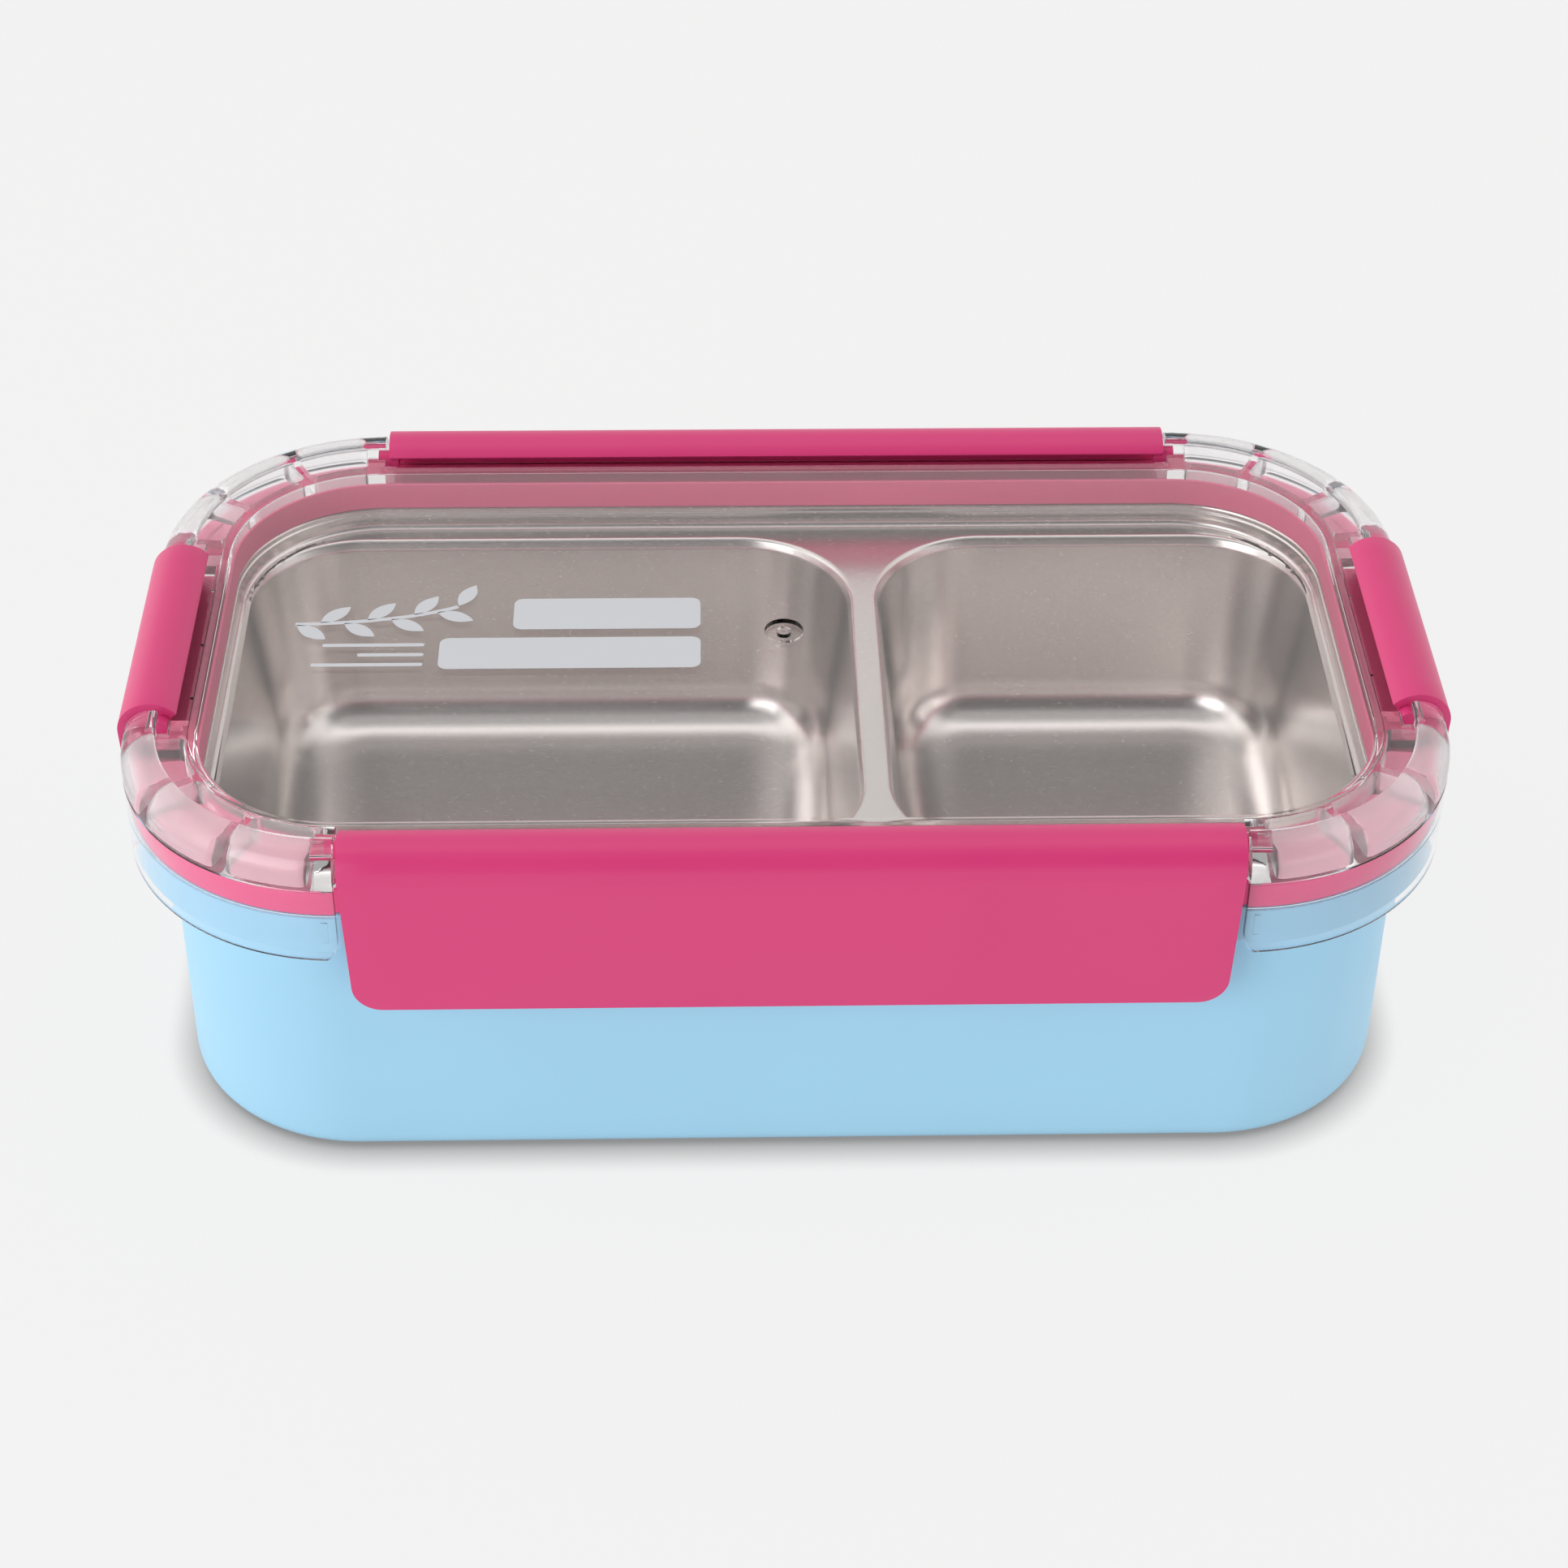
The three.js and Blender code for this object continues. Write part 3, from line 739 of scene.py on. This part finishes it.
# %% Build the frame
frame_piece = ring("tray_frame_looks", [
    (4.6, 55.5, 0.3), (4.6, 60.0, 0.5), (2.0, 60.0, 0.4), (2.0, 56.4, 0.3), (-5.2, 56.4, 0.25),
    (-5.2, 55.5, 0.25), (-3.4, 55.5, 0.2), (-3.4, 50.5, 0.3), (-2.1, 50.5, 0.3), (-2.1, 55.5, 0.2),
], frame_pink, steps=5, round_steps=48)
finish_piece(frame_piece, "tray_frame", "tray", [frame_pink])

# %% [markdown]
# ## The steel tray
# One sheet of stainless, half a millimetre thick, is blanked and drawn in stages: first the shallow
# step from the flange to the deck, then the two compartments. A drawn wall always leans a little and
# always meets the next face in a radius, or the sheet would tear. So the tray is built as one surface,
# the top face of the sheet, and then thickened downward.

# %% Draw the tray
STEP_FACE = -6.0
DECK = 53.1
TRAY_BED = 16.6
MOUTHS = [
    Plan((12.7 + 94.4) / 2, 45.8, 20.0, (12.7 - 94.4) / 2),
    Plan((94.4 - 16.8) / 2, 45.8, 20.0, (94.4 + 16.8) / 2),
]


def weld(parts):
    """Pour several shapes into one and join the points that meet."""
    whole = bmesh.new()
    for part in parts:
        mesh = bpy.data.meshes.new("part")
        part.to_mesh(mesh)
        part.free()
        whole.from_mesh(mesh)
        bpy.data.meshes.remove(mesh)
    bmesh.ops.remove_doubles(whole, verts=whole.verts, dist=0.002 * MM)
    return whole


def steel_sheet():
    flange = rounded([
        (FLANGE_OUTER, FLANGE_TOP), (STEP_FACE, FLANGE_TOP, 0.9), (STEP_FACE, 56.0, 0.2),
        (STEP_FACE - 0.3, 55.8, 0.25), (STEP_FACE - 0.3, 54.6, 0.25), (STEP_FACE - 0.5, DECK, 1.0),
        (STEP_FACE - 1.9, DECK),
    ], closed=False, steps=6)
    parts = [swept("flange", flange, tray_steel, closed=False, steps=48)]
    for number, mouth in enumerate(MOUTHS):
        wall = rounded([
            (1.0, DECK), (0.0, DECK, 1.0), (-0.8, 51.5, 2.0), (-5.2, TRAY_BED, 9.0), (-15.5, TRAY_BED),
        ], closed=False, steps=14)
        hollow = swept("hollow%d" % number, wall, tray_steel, closed=False, plan=mouth, steps=28)
        bed = [e for e in hollow.edges if e.is_boundary and e.verts[0].co.z < (TRAY_BED + 1) * MM]
        bmesh.ops.holes_fill(hollow, edges=bed, sides=0)
        parts.append(hollow)
    sheet = weld(parts)
    rim = [e for e in sheet.edges if e.is_boundary and abs(e.verts[0].co.z - DECK * MM) < 0.01 * MM]
    bmesh.ops.triangle_fill(sheet, use_beauty=True, use_dissolve=False, edges=rim, normal=(0, 0, 1))
    bmesh.ops.recalc_face_normals(sheet, faces=sheet.faces)
    bed_faces = [f for f in sheet.faces if abs(f.calc_center_median().z - TRAY_BED * MM) < 0.01 * MM]
    if bed_faces[0].normal.z < 0:
        bmesh.ops.reverse_faces(sheet, faces=sheet.faces)
    return sheet


tray_piece = as_object(steel_sheet(), "steel_tray_looks", tray_steel)
thicken = tray_piece.modifiers.new("thicken", "SOLIDIFY")
thicken.thickness = 0.5 * MM
thicken.offset = -1.0
thicken.use_even_offset = False
baked(tray_piece)
finish_piece(tray_piece, "steel_tray", "tray", [tray_steel], crisp=50.0)

# %% [markdown]
# ## The seal
# A moulded silicone ring sits in the lid and presses on the steel flange. Two low beads along its
# underside take the squeeze, which needs far less force from the latches than a flat face would. Its
# inner lip stands up inside the panel wall of the lid, which keeps the ring from rolling out, and it is
# this lip that shows as a clean pink band all round the tray.

# %% Build the seal
seal_piece = ring("lid_seal_looks", [
    (-5.75, 60.2, 0.1), (-5.75, 62.4, 0.2), (-6.3, 62.4, 0.2), (-6.3, 57.3, 0.3), (-4.9, 57.3, 0.6),
    (-4.4, 58.2, 0.4), (-1.0, 58.2, 0.4), (-0.4, 57.4, 0.6), (1.7, 57.4, 0.6), (1.7, 60.0, 0.35),
    (-5.2, 60.0, 0.2),
], seal_pink, steps=5, round_steps=48)
finish_piece(seal_piece, "lid_seal", "lid", [seal_pink])

# %% [markdown]
# ## The clear lid
# The lid is one clear moulding. A flat panel sits inside a channel, and only the four corners carry the
# rounded shoulder with its skirt: the straight sides are left open for the latches. Each corner would
# be a thick block of plastic, so three pockets core it out: they are open at the top beside the panel
# and reach under the skin of the shoulder. The bridges left between them keep the corner stiff.

# %% One thing at each corner
ARC_X = HALF_LENGTH - CORNER_RADIUS
ARC_Y = HALF_DEPTH - CORNER_RADIUS
ZONE_X = 70.7
ZONE_Y = 23.9


def at_each_corner(make):
    """Put what make() builds at the four arc centres, a quarter turn on each time."""
    parts = []
    for quarter, (sx, sy) in enumerate([(1, 1), (-1, 1), (-1, -1), (1, -1)]):
        part = make()
        spin = Matrix.Rotation(quarter * math.pi / 2, 3, "Z")
        bmesh.ops.rotate(part, verts=part.verts, matrix=spin)
        bmesh.ops.translate(part, verts=part.verts, vec=(sx * ARC_X * MM, sy * ARC_Y * MM, 0))
        parts.append(part)
    return weld(parts)


# %% [markdown]
# ### The pockets
# A pocket has a flat floor level with the channel. Its outer side follows the inside of the skirt and
# the shoulder, so the skin over it is of one thickness, and its mouth flares a little toward the panel.

# %% Pockets between the bridges
POCKET_NEAR = -3.9
MOUTH_FAR = 0.15
SKIN_INNER = 4.9
SKIN_MIDDLE = (1.3, 62.6)
SKIN_RADIUS = 3.6
POCKET_SPANS = [(6.5, 28.0), (32.0, 58.0), (62.0, 83.5)]


def pocket_levels():
    """Height, flare of the near side and reach of the far side, from the floor of a pocket upward."""
    out, up = SKIN_MIDDLE
    rows = [(CHANNEL, 0.0, SKIN_INNER)]
    for k in range(15):
        turn = math.pi / 2 * k / 14
        height = up + SKIN_RADIUS * math.sin(turn)
        flare = min(0.35, max(0.0, 0.7 * (height - 65.1)))
        rows.append((height, flare, out + SKIN_RADIUS * math.cos(turn)))
    mouth = up + SKIN_RADIUS + 0.01
    return rows + [(mouth, 0.35, MOUTH_FAR), (70.0, 0.35, MOUTH_FAR)]


def pockets():
    """Three curved pockets with rounded ends, as cutters, for one corner."""
    near = CORNER_RADIUS + POCKET_NEAR
    middle = CORNER_RADIUS + (POCKET_NEAR + MOUTH_FAR) / 2
    parts = []
    for start, end in POCKET_SPANS:
        run = math.radians(end - start) * middle
        inner = [run * k / 14 for k in range(2, 13)]
        levels = []
        for height, flare, reach in pocket_levels():
            far = CORNER_RADIUS + reach
            corners = [(-flare, near - flare, 1.1)]
            corners += [(k, near - flare) for k in inner]
            corners += [(run + flare, near - flare, 1.1), (run + flare, far, 1.1)]
            corners += [(k, far) for k in reversed(inner)]
            corners += [(-flare, far, 1.1)]
            outline = []
            for point in rounded(corners, steps=6):
                angle = math.radians(start) + point.x / middle
                outline.append((point.y * math.cos(angle), point.y * math.sin(angle)))
            levels.append((height, outline))
        parts.append(stacked(levels))
    return weld(parts)


# %% [markdown]
# ### The corner zones
# The shoulder is swept all round and then kept in the corners only. Each skirt end has a rounded lower
# corner, so the zones are cut from two profiles, one seen along the box and one across it.

# %% Corner zones with rounded lower ends
def end_profile(inner, outer, low, high, radius):
    """Two uprights, left and right of a gap, each with its lower inner corner rounded."""
    arc = [
        (inner + radius - radius * math.cos(t), low + radius - radius * math.sin(t))
        for t in [math.pi / 2 * k / 10 for k in range(11)]
    ]
    right = arc + [(outer, low), (outer, high), (inner, high)]
    return right, [(-a, b) for a, b in right][::-1]


def corner_zones(past=0.0, low=46.5, radius=4.0):
    across = weld([extruded(o, "y", -90, 90) for o in end_profile(ZONE_X + past, 130, low, 80, radius)])
    along = weld([extruded(o, "x", -130, 130) for o in end_profile(ZONE_Y + past, 90, low, 80, radius)])
    return combine(as_object(across, "corner_zones"), along, "INTERSECT")


def within(thing, zones):
    """Keep what lies in the zones; the cut ends carry the spark-eroded finish."""
    shape = bmesh.new()
    shape.from_mesh(zones.data)
    return combine(thing, shape, "INTERSECT", paint=1)


def shape_of(thing):
    shape = bmesh.new()
    shape.from_mesh(thing.data)
    bpy.data.objects.remove(thing)
    return shape


# %% [markdown]
# ### Putting the lid together
# Panel, lands, shoulders and lugs are joined first. Then the pockets are cut, the small ribs and marks
# are added, and the pin holes and the gate well are cut last.

# %% Lid heights
PANEL_TOP = 65.8
PANEL_UNDER = 64.4
STRIP_TOP = 63.5
STRIP_EDGE = -3.3
CHANNEL = 61.2
PIN_OUT = 0.2
PIN_HEIGHT = 64.6
PIN_HOLE = 1.8
LUG_WIDTH = 1.8
LAND_TOP = 65.5
LAND_UNDER = 60.75
MARK_OFFSET = 3.75
GATE_WELL = 3.25
GATE_STUB = 1.2

# %% Build the lid
plate_path = rounded([
    (-14.0, PANEL_TOP), (-4.3, PANEL_TOP, 0.7), (-4.3, STRIP_TOP, 0.2), (STRIP_EDGE, STRIP_TOP, 0.3),
    (STRIP_EDGE, CHANNEL, 0.5), (4.3, CHANNEL, 0.25),
    (4.3, LID_BOTTOM, 0.25), (-5.6, LID_BOTTOM, 0.3), (-5.6, PANEL_UNDER, 0.6), (-14.0, PANEL_UNDER),
], closed=False, steps=5)
plate = swept("lid_looks", plate_path, lid_clear, closed=False, steps=40)
lid_piece = as_object(face_outward(close_loops(plate)), "lid_looks")

zones = corner_zones(0.0)
behind_lugs = corner_zones(LUG_WIDTH, radius=3.0)

shoulders = ring("shoulders", [
    (0.4, 60.31), (0.4, 67.6, 0.7), (6.3, 67.6, 5.0), (6.3, 61.55), (6.16, 61.4), (6.16, 61.2),
    (6.3, 61.05), (6.3, 47.0, 0.5), (4.9, 47.0, 0.5),
    (4.9, 55.0), (4.66, 55.25, 0.1), (4.66, 55.45, 0.1), (4.9, 55.7), (4.9, 60.31, 0.3),
], lid_clear, steps=14)
within(shoulders, zones)
lugs = ring("lugs", [
    (-4.9, LAND_UNDER), (-4.9, LAND_TOP), (0.4, LAND_TOP, 0.3), (0.4, 67.6, 0.6),
    (6.3, 67.6, 4.9), (6.3, LAND_UNDER, 0.2),
], lid_clear, steps=10)
within(lugs, zones)
combine(lugs, shape_of(behind_lugs), "DIFFERENCE")
lands = ring("lands", [
    (-4.9, LAND_UNDER), (-4.9, LAND_TOP), (1.1, LAND_TOP), (1.1, LAND_UNDER),
], lid_clear)
within(lands, zones)

for part in (shape_of(lands), shape_of(shoulders), shape_of(lugs)):
    combine(lid_piece, part, "UNION")
combine(lid_piece, at_each_corner(pockets), "DIFFERENCE", paint=1)
bpy.data.objects.remove(zones)

# Short ribs inside the skirt, close to each end, stop the lid from rattling on the rim.
ribs = []
for sx in (-1, 1):
    for sy in (-1, 1):
        face = sorted((sy * (HALF_DEPTH + 4.7), sy * (HALF_DEPTH + 5.2)))
        side = sorted((sx * (ZONE_X + 1.4), sx * (ZONE_X + 2.4)))
        rib = [(side[0], 50.2), (side[1], 50.2), (side[1], 54.2), (side[0], 54.2)]
        ribs.append(extruded(rib, "y", *face))
combine(lid_piece, weld(ribs), "UNION")

# Ejector marks: small domes on the strip beside the side latches.
marks = []
for side, places in ((-1, (-15.0, 0.0, 16.0)), (1, (-11.0, 12.0))):
    for place in places:
        middle = (side * (HALF_LENGTH - MARK_OFFSET), place)
        rows = [
            (STRIP_TOP - 0.3, 0.42), (STRIP_TOP, 0.42), (STRIP_TOP + 0.2, 0.36), (STRIP_TOP + 0.32, 0.2),
        ]
        marks.append(stacked([(z, disc(r, middle, 16)) for z, r in rows]))
combine(lid_piece, weld(marks), "UNION")

holes = []
for end in (-1, 1):
    for side in (-1, 1):
        out_x, out_y = HALF_LENGTH + PIN_OUT, HALF_DEPTH + PIN_OUT
        ends_x = sorted((end * (ZONE_X - 2), end * (ZONE_X + 3.5)))
        ends_y = sorted((end * (ZONE_Y - 2), end * (ZONE_Y + 3.5)))
        holes.append(extruded(disc(PIN_HOLE, (side * out_y, PIN_HEIGHT), 28), "x", *ends_x))
        holes.append(extruded(disc(PIN_HOLE, (side * out_x, PIN_HEIGHT), 28), "y", *ends_y))
combine(lid_piece, weld(holes), "DIFFERENCE")

gate_well = extruded(disc(GATE_WELL, steps=64), "z", PANEL_TOP - 0.9, 70)
combine(lid_piece, gate_well, "DIFFERENCE")
gate_stub = extruded(disc(GATE_STUB, steps=32), "z", PANEL_TOP - 1.1, PANEL_TOP - 0.15)
combine(lid_piece, gate_stub, "UNION")
finish_piece(lid_piece, "lid", "lid", [lid_clear, lid_frost], crisp=35.0)

# %% [markdown]
# ## The latches
# Each latch is a thin moulding: a rolled top that the fingers meet, a flat plate that hangs down and a
# hook ridge across the inside. Ears close the ends of the roll and carry the hinge pins, which snap
# into the lugs of the lid. The plate narrows slightly and its lower corners are rounded, so it can be
# laid out as rows along the section, each with its own half width.

# %% Latch layout
ROLL_OUT = 1.93
ROLL_Z = 62.7
ROLL_RADIUS = 5.6
ROLL_START = 140.5
LATCH_WALL = 1.3
PLATE_FOOT = latch_low.z
PLATE_LEAN = 0.93
PLATE_DROP = ROLL_Z - PLATE_FOOT
LATCH_CORNER = 4.6
LATCH_TAPER = 1.0
HOOK_TOP = 47.7
HOOK_TIP = 4.9
print("latch foot at", round(PLATE_FOOT, 2), "length", round(latch_high.x - latch_low.x, 2))


def latch_rows(wall):
    """Points (offset, height) down one face of the latch, set in from the outer face by wall."""
    rows = []
    radius = ROLL_RADIUS - wall
    for k in range(29):
        angle = math.radians(ROLL_START * (1 - k / 28))
        rows.append((ROLL_OUT + radius * math.cos(angle), ROLL_Z + radius * math.sin(angle)))
    corner_top = PLATE_FOOT + LATCH_CORNER
    for k in range(1, 9):
        rows.append((None, ROLL_Z + (corner_top - ROLL_Z) * k / 8))
    for k in range(1, 13):
        rows.append((None, PLATE_FOOT + LATCH_CORNER * (1 - math.sin(math.pi / 2 * k / 12))))
    out = ROLL_OUT + radius
    return [
        (a if a is not None else out - PLATE_LEAN * (ROLL_Z - z) / PLATE_DROP, z) for a, z in rows
    ]


def half_width(half, z):
    top = ROLL_Z + ROLL_RADIUS
    width = half - LATCH_TAPER * (top - z) / (top - PLATE_FOOT)
    above = z - PLATE_FOOT
    if above < LATCH_CORNER:
        width += math.sqrt(max(LATCH_CORNER ** 2 - (LATCH_CORNER - above) ** 2, 0)) - LATCH_CORNER
    return width


def latch_shell(half, columns):
    """The rolled plate, lying along x, with offsets toward -y."""
    shape = bmesh.new()
    bevel = shape.edges.layers.float.new("bevel_weight_edge")
    faces = []
    for wall in (0.0, LATCH_WALL):
        grid = []
        for row, (out, z) in enumerate(latch_rows(wall)):
            width = half_width(half, latch_rows(0.0)[row][1])
            grid.append([
                shape.verts.new((width * (2 * c / columns - 1) * MM, -out * MM, z * MM))
                for c in range(columns + 1)
            ])
        faces.append(grid)
    outer, inner = faces
    last = len(outer) - 1
    for grid in faces:
        for r in range(last):
            for c in range(columns):
                shape.faces.new((grid[r][c], grid[r + 1][c], grid[r + 1][c + 1], grid[r][c + 1]))
    for r in range(last):
        for c in (0, columns):
            shape.faces.new((outer[r][c], inner[r][c], inner[r + 1][c], outer[r + 1][c]))
    for c in range(columns):
        for r in (0, last):
            shape.faces.new((outer[r][c], outer[r][c + 1], inner[r][c + 1], inner[r][c]))
    for grid in faces:
        for c in (0, columns):
            for r in range(last):
                shape.edges.get((grid[r][c], grid[r + 1][c]))[bevel] = 1.0
        for r in (0, last):
            for c in range(columns):
                shape.edges.get((grid[r][c], grid[r][c + 1]))[bevel] = 1.0
    return face_outward(shape)


# %% [markdown]
# ### One latch at a time
# The shell gets a half-millimetre edge, then the hook ridge, the two ears and the pins are joined on.
# All four latches come from the same function: only the length and the side of the box differ.

# %% Mould one latch
def latch_solid(name, length):
    half = length / 2
    thing = as_object(latch_shell(half, 24 if length > 100 else 10), name)
    rounding = thing.modifiers.new("rounding", "BEVEL")
    rounding.width = 0.5 * MM
    rounding.segments = 4
    rounding.limit_method = "WEIGHT"
    rounding.use_clamp_overlap = True
    baked(thing)
    inner = ROLL_OUT + ROLL_RADIUS - LATCH_WALL

    def inner_face(z):
        return inner - PLATE_LEAN * (ROLL_Z - z) / PLATE_DROP

    low = HOOK_TOP - 4.6
    hook = rounded([
        (-inner_face(low) - 0.4, low - 0.4), (-HOOK_TIP, HOOK_TOP - 1.15, 0.5),
        (-HOOK_TIP, HOOK_TOP, 0.4), (-inner_face(HOOK_TOP) - 0.4, HOOK_TOP),
    ], steps=4)
    combine(thing, extruded([tuple(p) for p in hook], "x", -half + 3.5, half - 3.5), "UNION")
    middle = ROLL_RADIUS - LATCH_WALL / 2
    ear = [
        (-(ROLL_OUT + middle * math.cos(math.radians(a))), ROLL_Z + middle * math.sin(math.radians(a)))
        for a in [ROLL_START * (1 - k / 24) for k in range(25)]
    ]
    ear.append((-PIN_OUT, PIN_HEIGHT - 1.5))
    for end in (-1, 1):
        face = end * (half - 0.25)
        back = end * (half - 1.6)
        combine(thing, extruded(ear, "x", *sorted((face, back))), "UNION")
        tip = end * (half + 2.0)
        pin = extruded(disc(1.5, (-PIN_OUT, PIN_HEIGHT), 32), "x", *sorted((back, tip)))
        combine(thing, pin, "UNION")
    return thing


def hang(name, node, length, reach, turn):
    """Place a latch on its side of the box: no turn faces the front."""
    thing = latch_solid(name, length)
    thing.data.transform(Matrix.Translation((0, -reach * MM, 0)))
    thing.data.transform(Matrix.Rotation(turn * math.pi / 2, 4, "Z"))
    side = name.split("_")[0]
    return finish_piece(thing, node, side + "_latch", [latch_pink], crisp=45.0)


hang("front_latch_looks", "latch_front", 140.0, HALF_DEPTH, 0)
hang("right_latch_looks", "latch_right", 46.4, HALF_LENGTH, 1)
hang("back_latch_looks", "latch_back", 140.0, HALF_DEPTH, 2)
hang("left_latch_looks", "latch_left", 46.4, HALF_LENGTH, 3)

# %% [markdown]
# ## The print on the lid
# A plain motif is pad printed in white ink on the panel: a sprig of leaves, two broad bars and three
# fine lines. Ink lies on the surface as a film a few hundredths of a millimetre thick. The sprig grows
# from a Geometry Nodes tree, with leaves set out along a bent stem and turned to alternate sides.

# %% The sprig
LEAF_OFFSET = 0.55
LEAF_WIDTH = 0.85


def leaf_outline(tree):
    """A flat leaf one unit long: a circle whose middle is pinched toward its length."""
    circle = add(tree, "GeometryNodeMeshCircle", fill_type="NGON", Vertices=36, Radius=0.5)
    axes = add(tree, "ShaderNodeSeparateXYZ", Vector=add(tree, "GeometryNodeInputPosition").outputs[0])
    across = axes.outputs["Y"]
    pinched = calc(tree, "MULTIPLY", across, calc(tree, "ABSOLUTE", across))
    point = add(
        tree, "ShaderNodeCombineXYZ", X=calc(tree, "ADD", axes.outputs["X"], LEAF_OFFSET),
        Y=calc(tree, "MULTIPLY", pinched, LEAF_WIDTH),
    )
    leaf = add(tree, "GeometryNodeSetPosition", Geometry=circle.outputs[0], Position=point.outputs[0])
    return leaf.outputs[0]


def stem_strip(tree, curve, width):
    """A flat strip of that width along a curve."""
    line = add(tree, "GeometryNodeCurvePrimitiveLine")
    for share, end in ((0.5, "Start"), (-0.5, "End")):
        corner = add(tree, "ShaderNodeCombineXYZ", X=calc(tree, "MULTIPLY", width, share))
        feed(tree, line.inputs[end], corner.outputs[0])
    strip = add(tree, "GeometryNodeCurveToMesh", Curve=curve, Profile_Curve=line.outputs[0])
    return strip.outputs[0]


def sprig_tree():
    """Geometry Nodes: flat leaves on alternate sides of a bent stem."""
    tree, sizes = new_tree(
        "sprig_of_leaves", Stem_Start=Vector, Stem_Bend=Vector, Stem_End=Vector, Stem_Width=0.0005,
        Leaves=9, Leaf_Length=0.005, Leaf_Slant=0.8,
    )
    stem = add(
        tree, "GeometryNodeCurveQuadraticBezier", Resolution=40, Start=sizes["Stem Start"],
        Middle=sizes["Stem Bend"], End=sizes["Stem End"],
    )
    upright = add(tree, "GeometryNodeSetCurveNormal", mode="Z_UP", Curve=stem.outputs[0]).outputs[0]
    strip = stem_strip(tree, upright, sizes["Stem Width"])
    spots = add(tree, "GeometryNodeCurveToPoints", mode="COUNT", Curve=upright, Count=sizes["Leaves"])
    odd = calc(tree, "MODULO", add(tree, "GeometryNodeInputIndex").outputs[0], 2.0)
    side = calc(tree, "MULTIPLY_ADD", odd, 2.0, -1.0)
    lean = add(tree, "ShaderNodeCombineXYZ", Z=calc(tree, "MULTIPLY", side, sizes["Leaf Slant"]))
    along_stem = add(
        tree, "FunctionNodeAlignRotationToVector", axis="X", Vector=spots.outputs["Tangent"],
    )
    turned = add(
        tree, "FunctionNodeRotateRotation", rotation_space="LOCAL", Rotation=along_stem.outputs[0],
        Rotate_By=lean.outputs[0],
    )
    leaves = add(
        tree, "GeometryNodeInstanceOnPoints", Points=spots.outputs["Points"],
        Instance=leaf_outline(tree), Rotation=turned.outputs[0], Scale=sizes["Leaf Length"],
    )
    both = add(tree, "GeometryNodeJoinGeometry")
    for part in (leaves.outputs[0], strip):
        tree.links.new(part, both.inputs[0])
    return finish_tree(tree, sizes, both.outputs[0])


# %% [markdown]
# ### Ink on the panel
# The flat sprig is raised to the thickness of the ink, and rounded bars lie beside it.

# %% Lay the ink
INK = 0.04
INK_GAP = 0.005


def pill(x0, x1, y0, y1, radius):
    """A rounded bar lying on the panel."""
    corners = [(x0, y0, radius), (x1, y0, radius), (x1, y1, radius), (x0, y1, radius)]
    outline = [tuple(p) for p in rounded(corners, steps=8)]
    return extruded(outline, "z", PANEL_TOP + INK_GAP, PANEL_TOP + INK)


def sprig():
    mesh = grown(
        "sprig", sprig_tree(), Stem_Start=Vector((-82.0, 2.5, 0)) * MM,
        Stem_Bend=Vector((-64, 3.0, 0)) * MM, Stem_End=Vector((-55.0, 7.4, 0)) * MM,
        Stem_Width=0.9 * MM, Leaves=8, Leaf_Length=6.6 * MM, Leaf_Slant=0.72, Material=print_white,
    )
    flat = bmesh.new()
    flat.from_mesh(mesh)
    for face in flat.faces:
        if face.normal.z < 0:
            face.normal_flip()
    bmesh.ops.translate(flat, verts=flat.verts, vec=(0, 0, (PANEL_TOP + INK_GAP) * MM))
    top = bmesh.ops.extrude_face_region(flat, geom=flat.faces[:], use_keep_orig=True)["geom"]
    raised = [v for v in top if isinstance(v, bmesh.types.BMVert)]
    bmesh.ops.translate(flat, verts=raised, vec=(0, 0, (INK - INK_GAP) * MM))
    return face_outward(flat)


ink = [
    sprig(), pill(-45.5, -14.0, 0.6, 9.6, 1.6), pill(-57.5, -14.0, -10.6, -1.8, 1.6),
    pill(-77.0, -60.0, -4.1, -3.2, 0.4), pill(-71.0, -60.0, -6.9, -6.0, 0.4),
    pill(-78.5, -60.0, -9.7, -8.8, 0.4),
]
print_piece = as_object(weld(ink), "lid_print")
finish_piece(print_piece, None, "lid", [print_white], crisp=30.0)
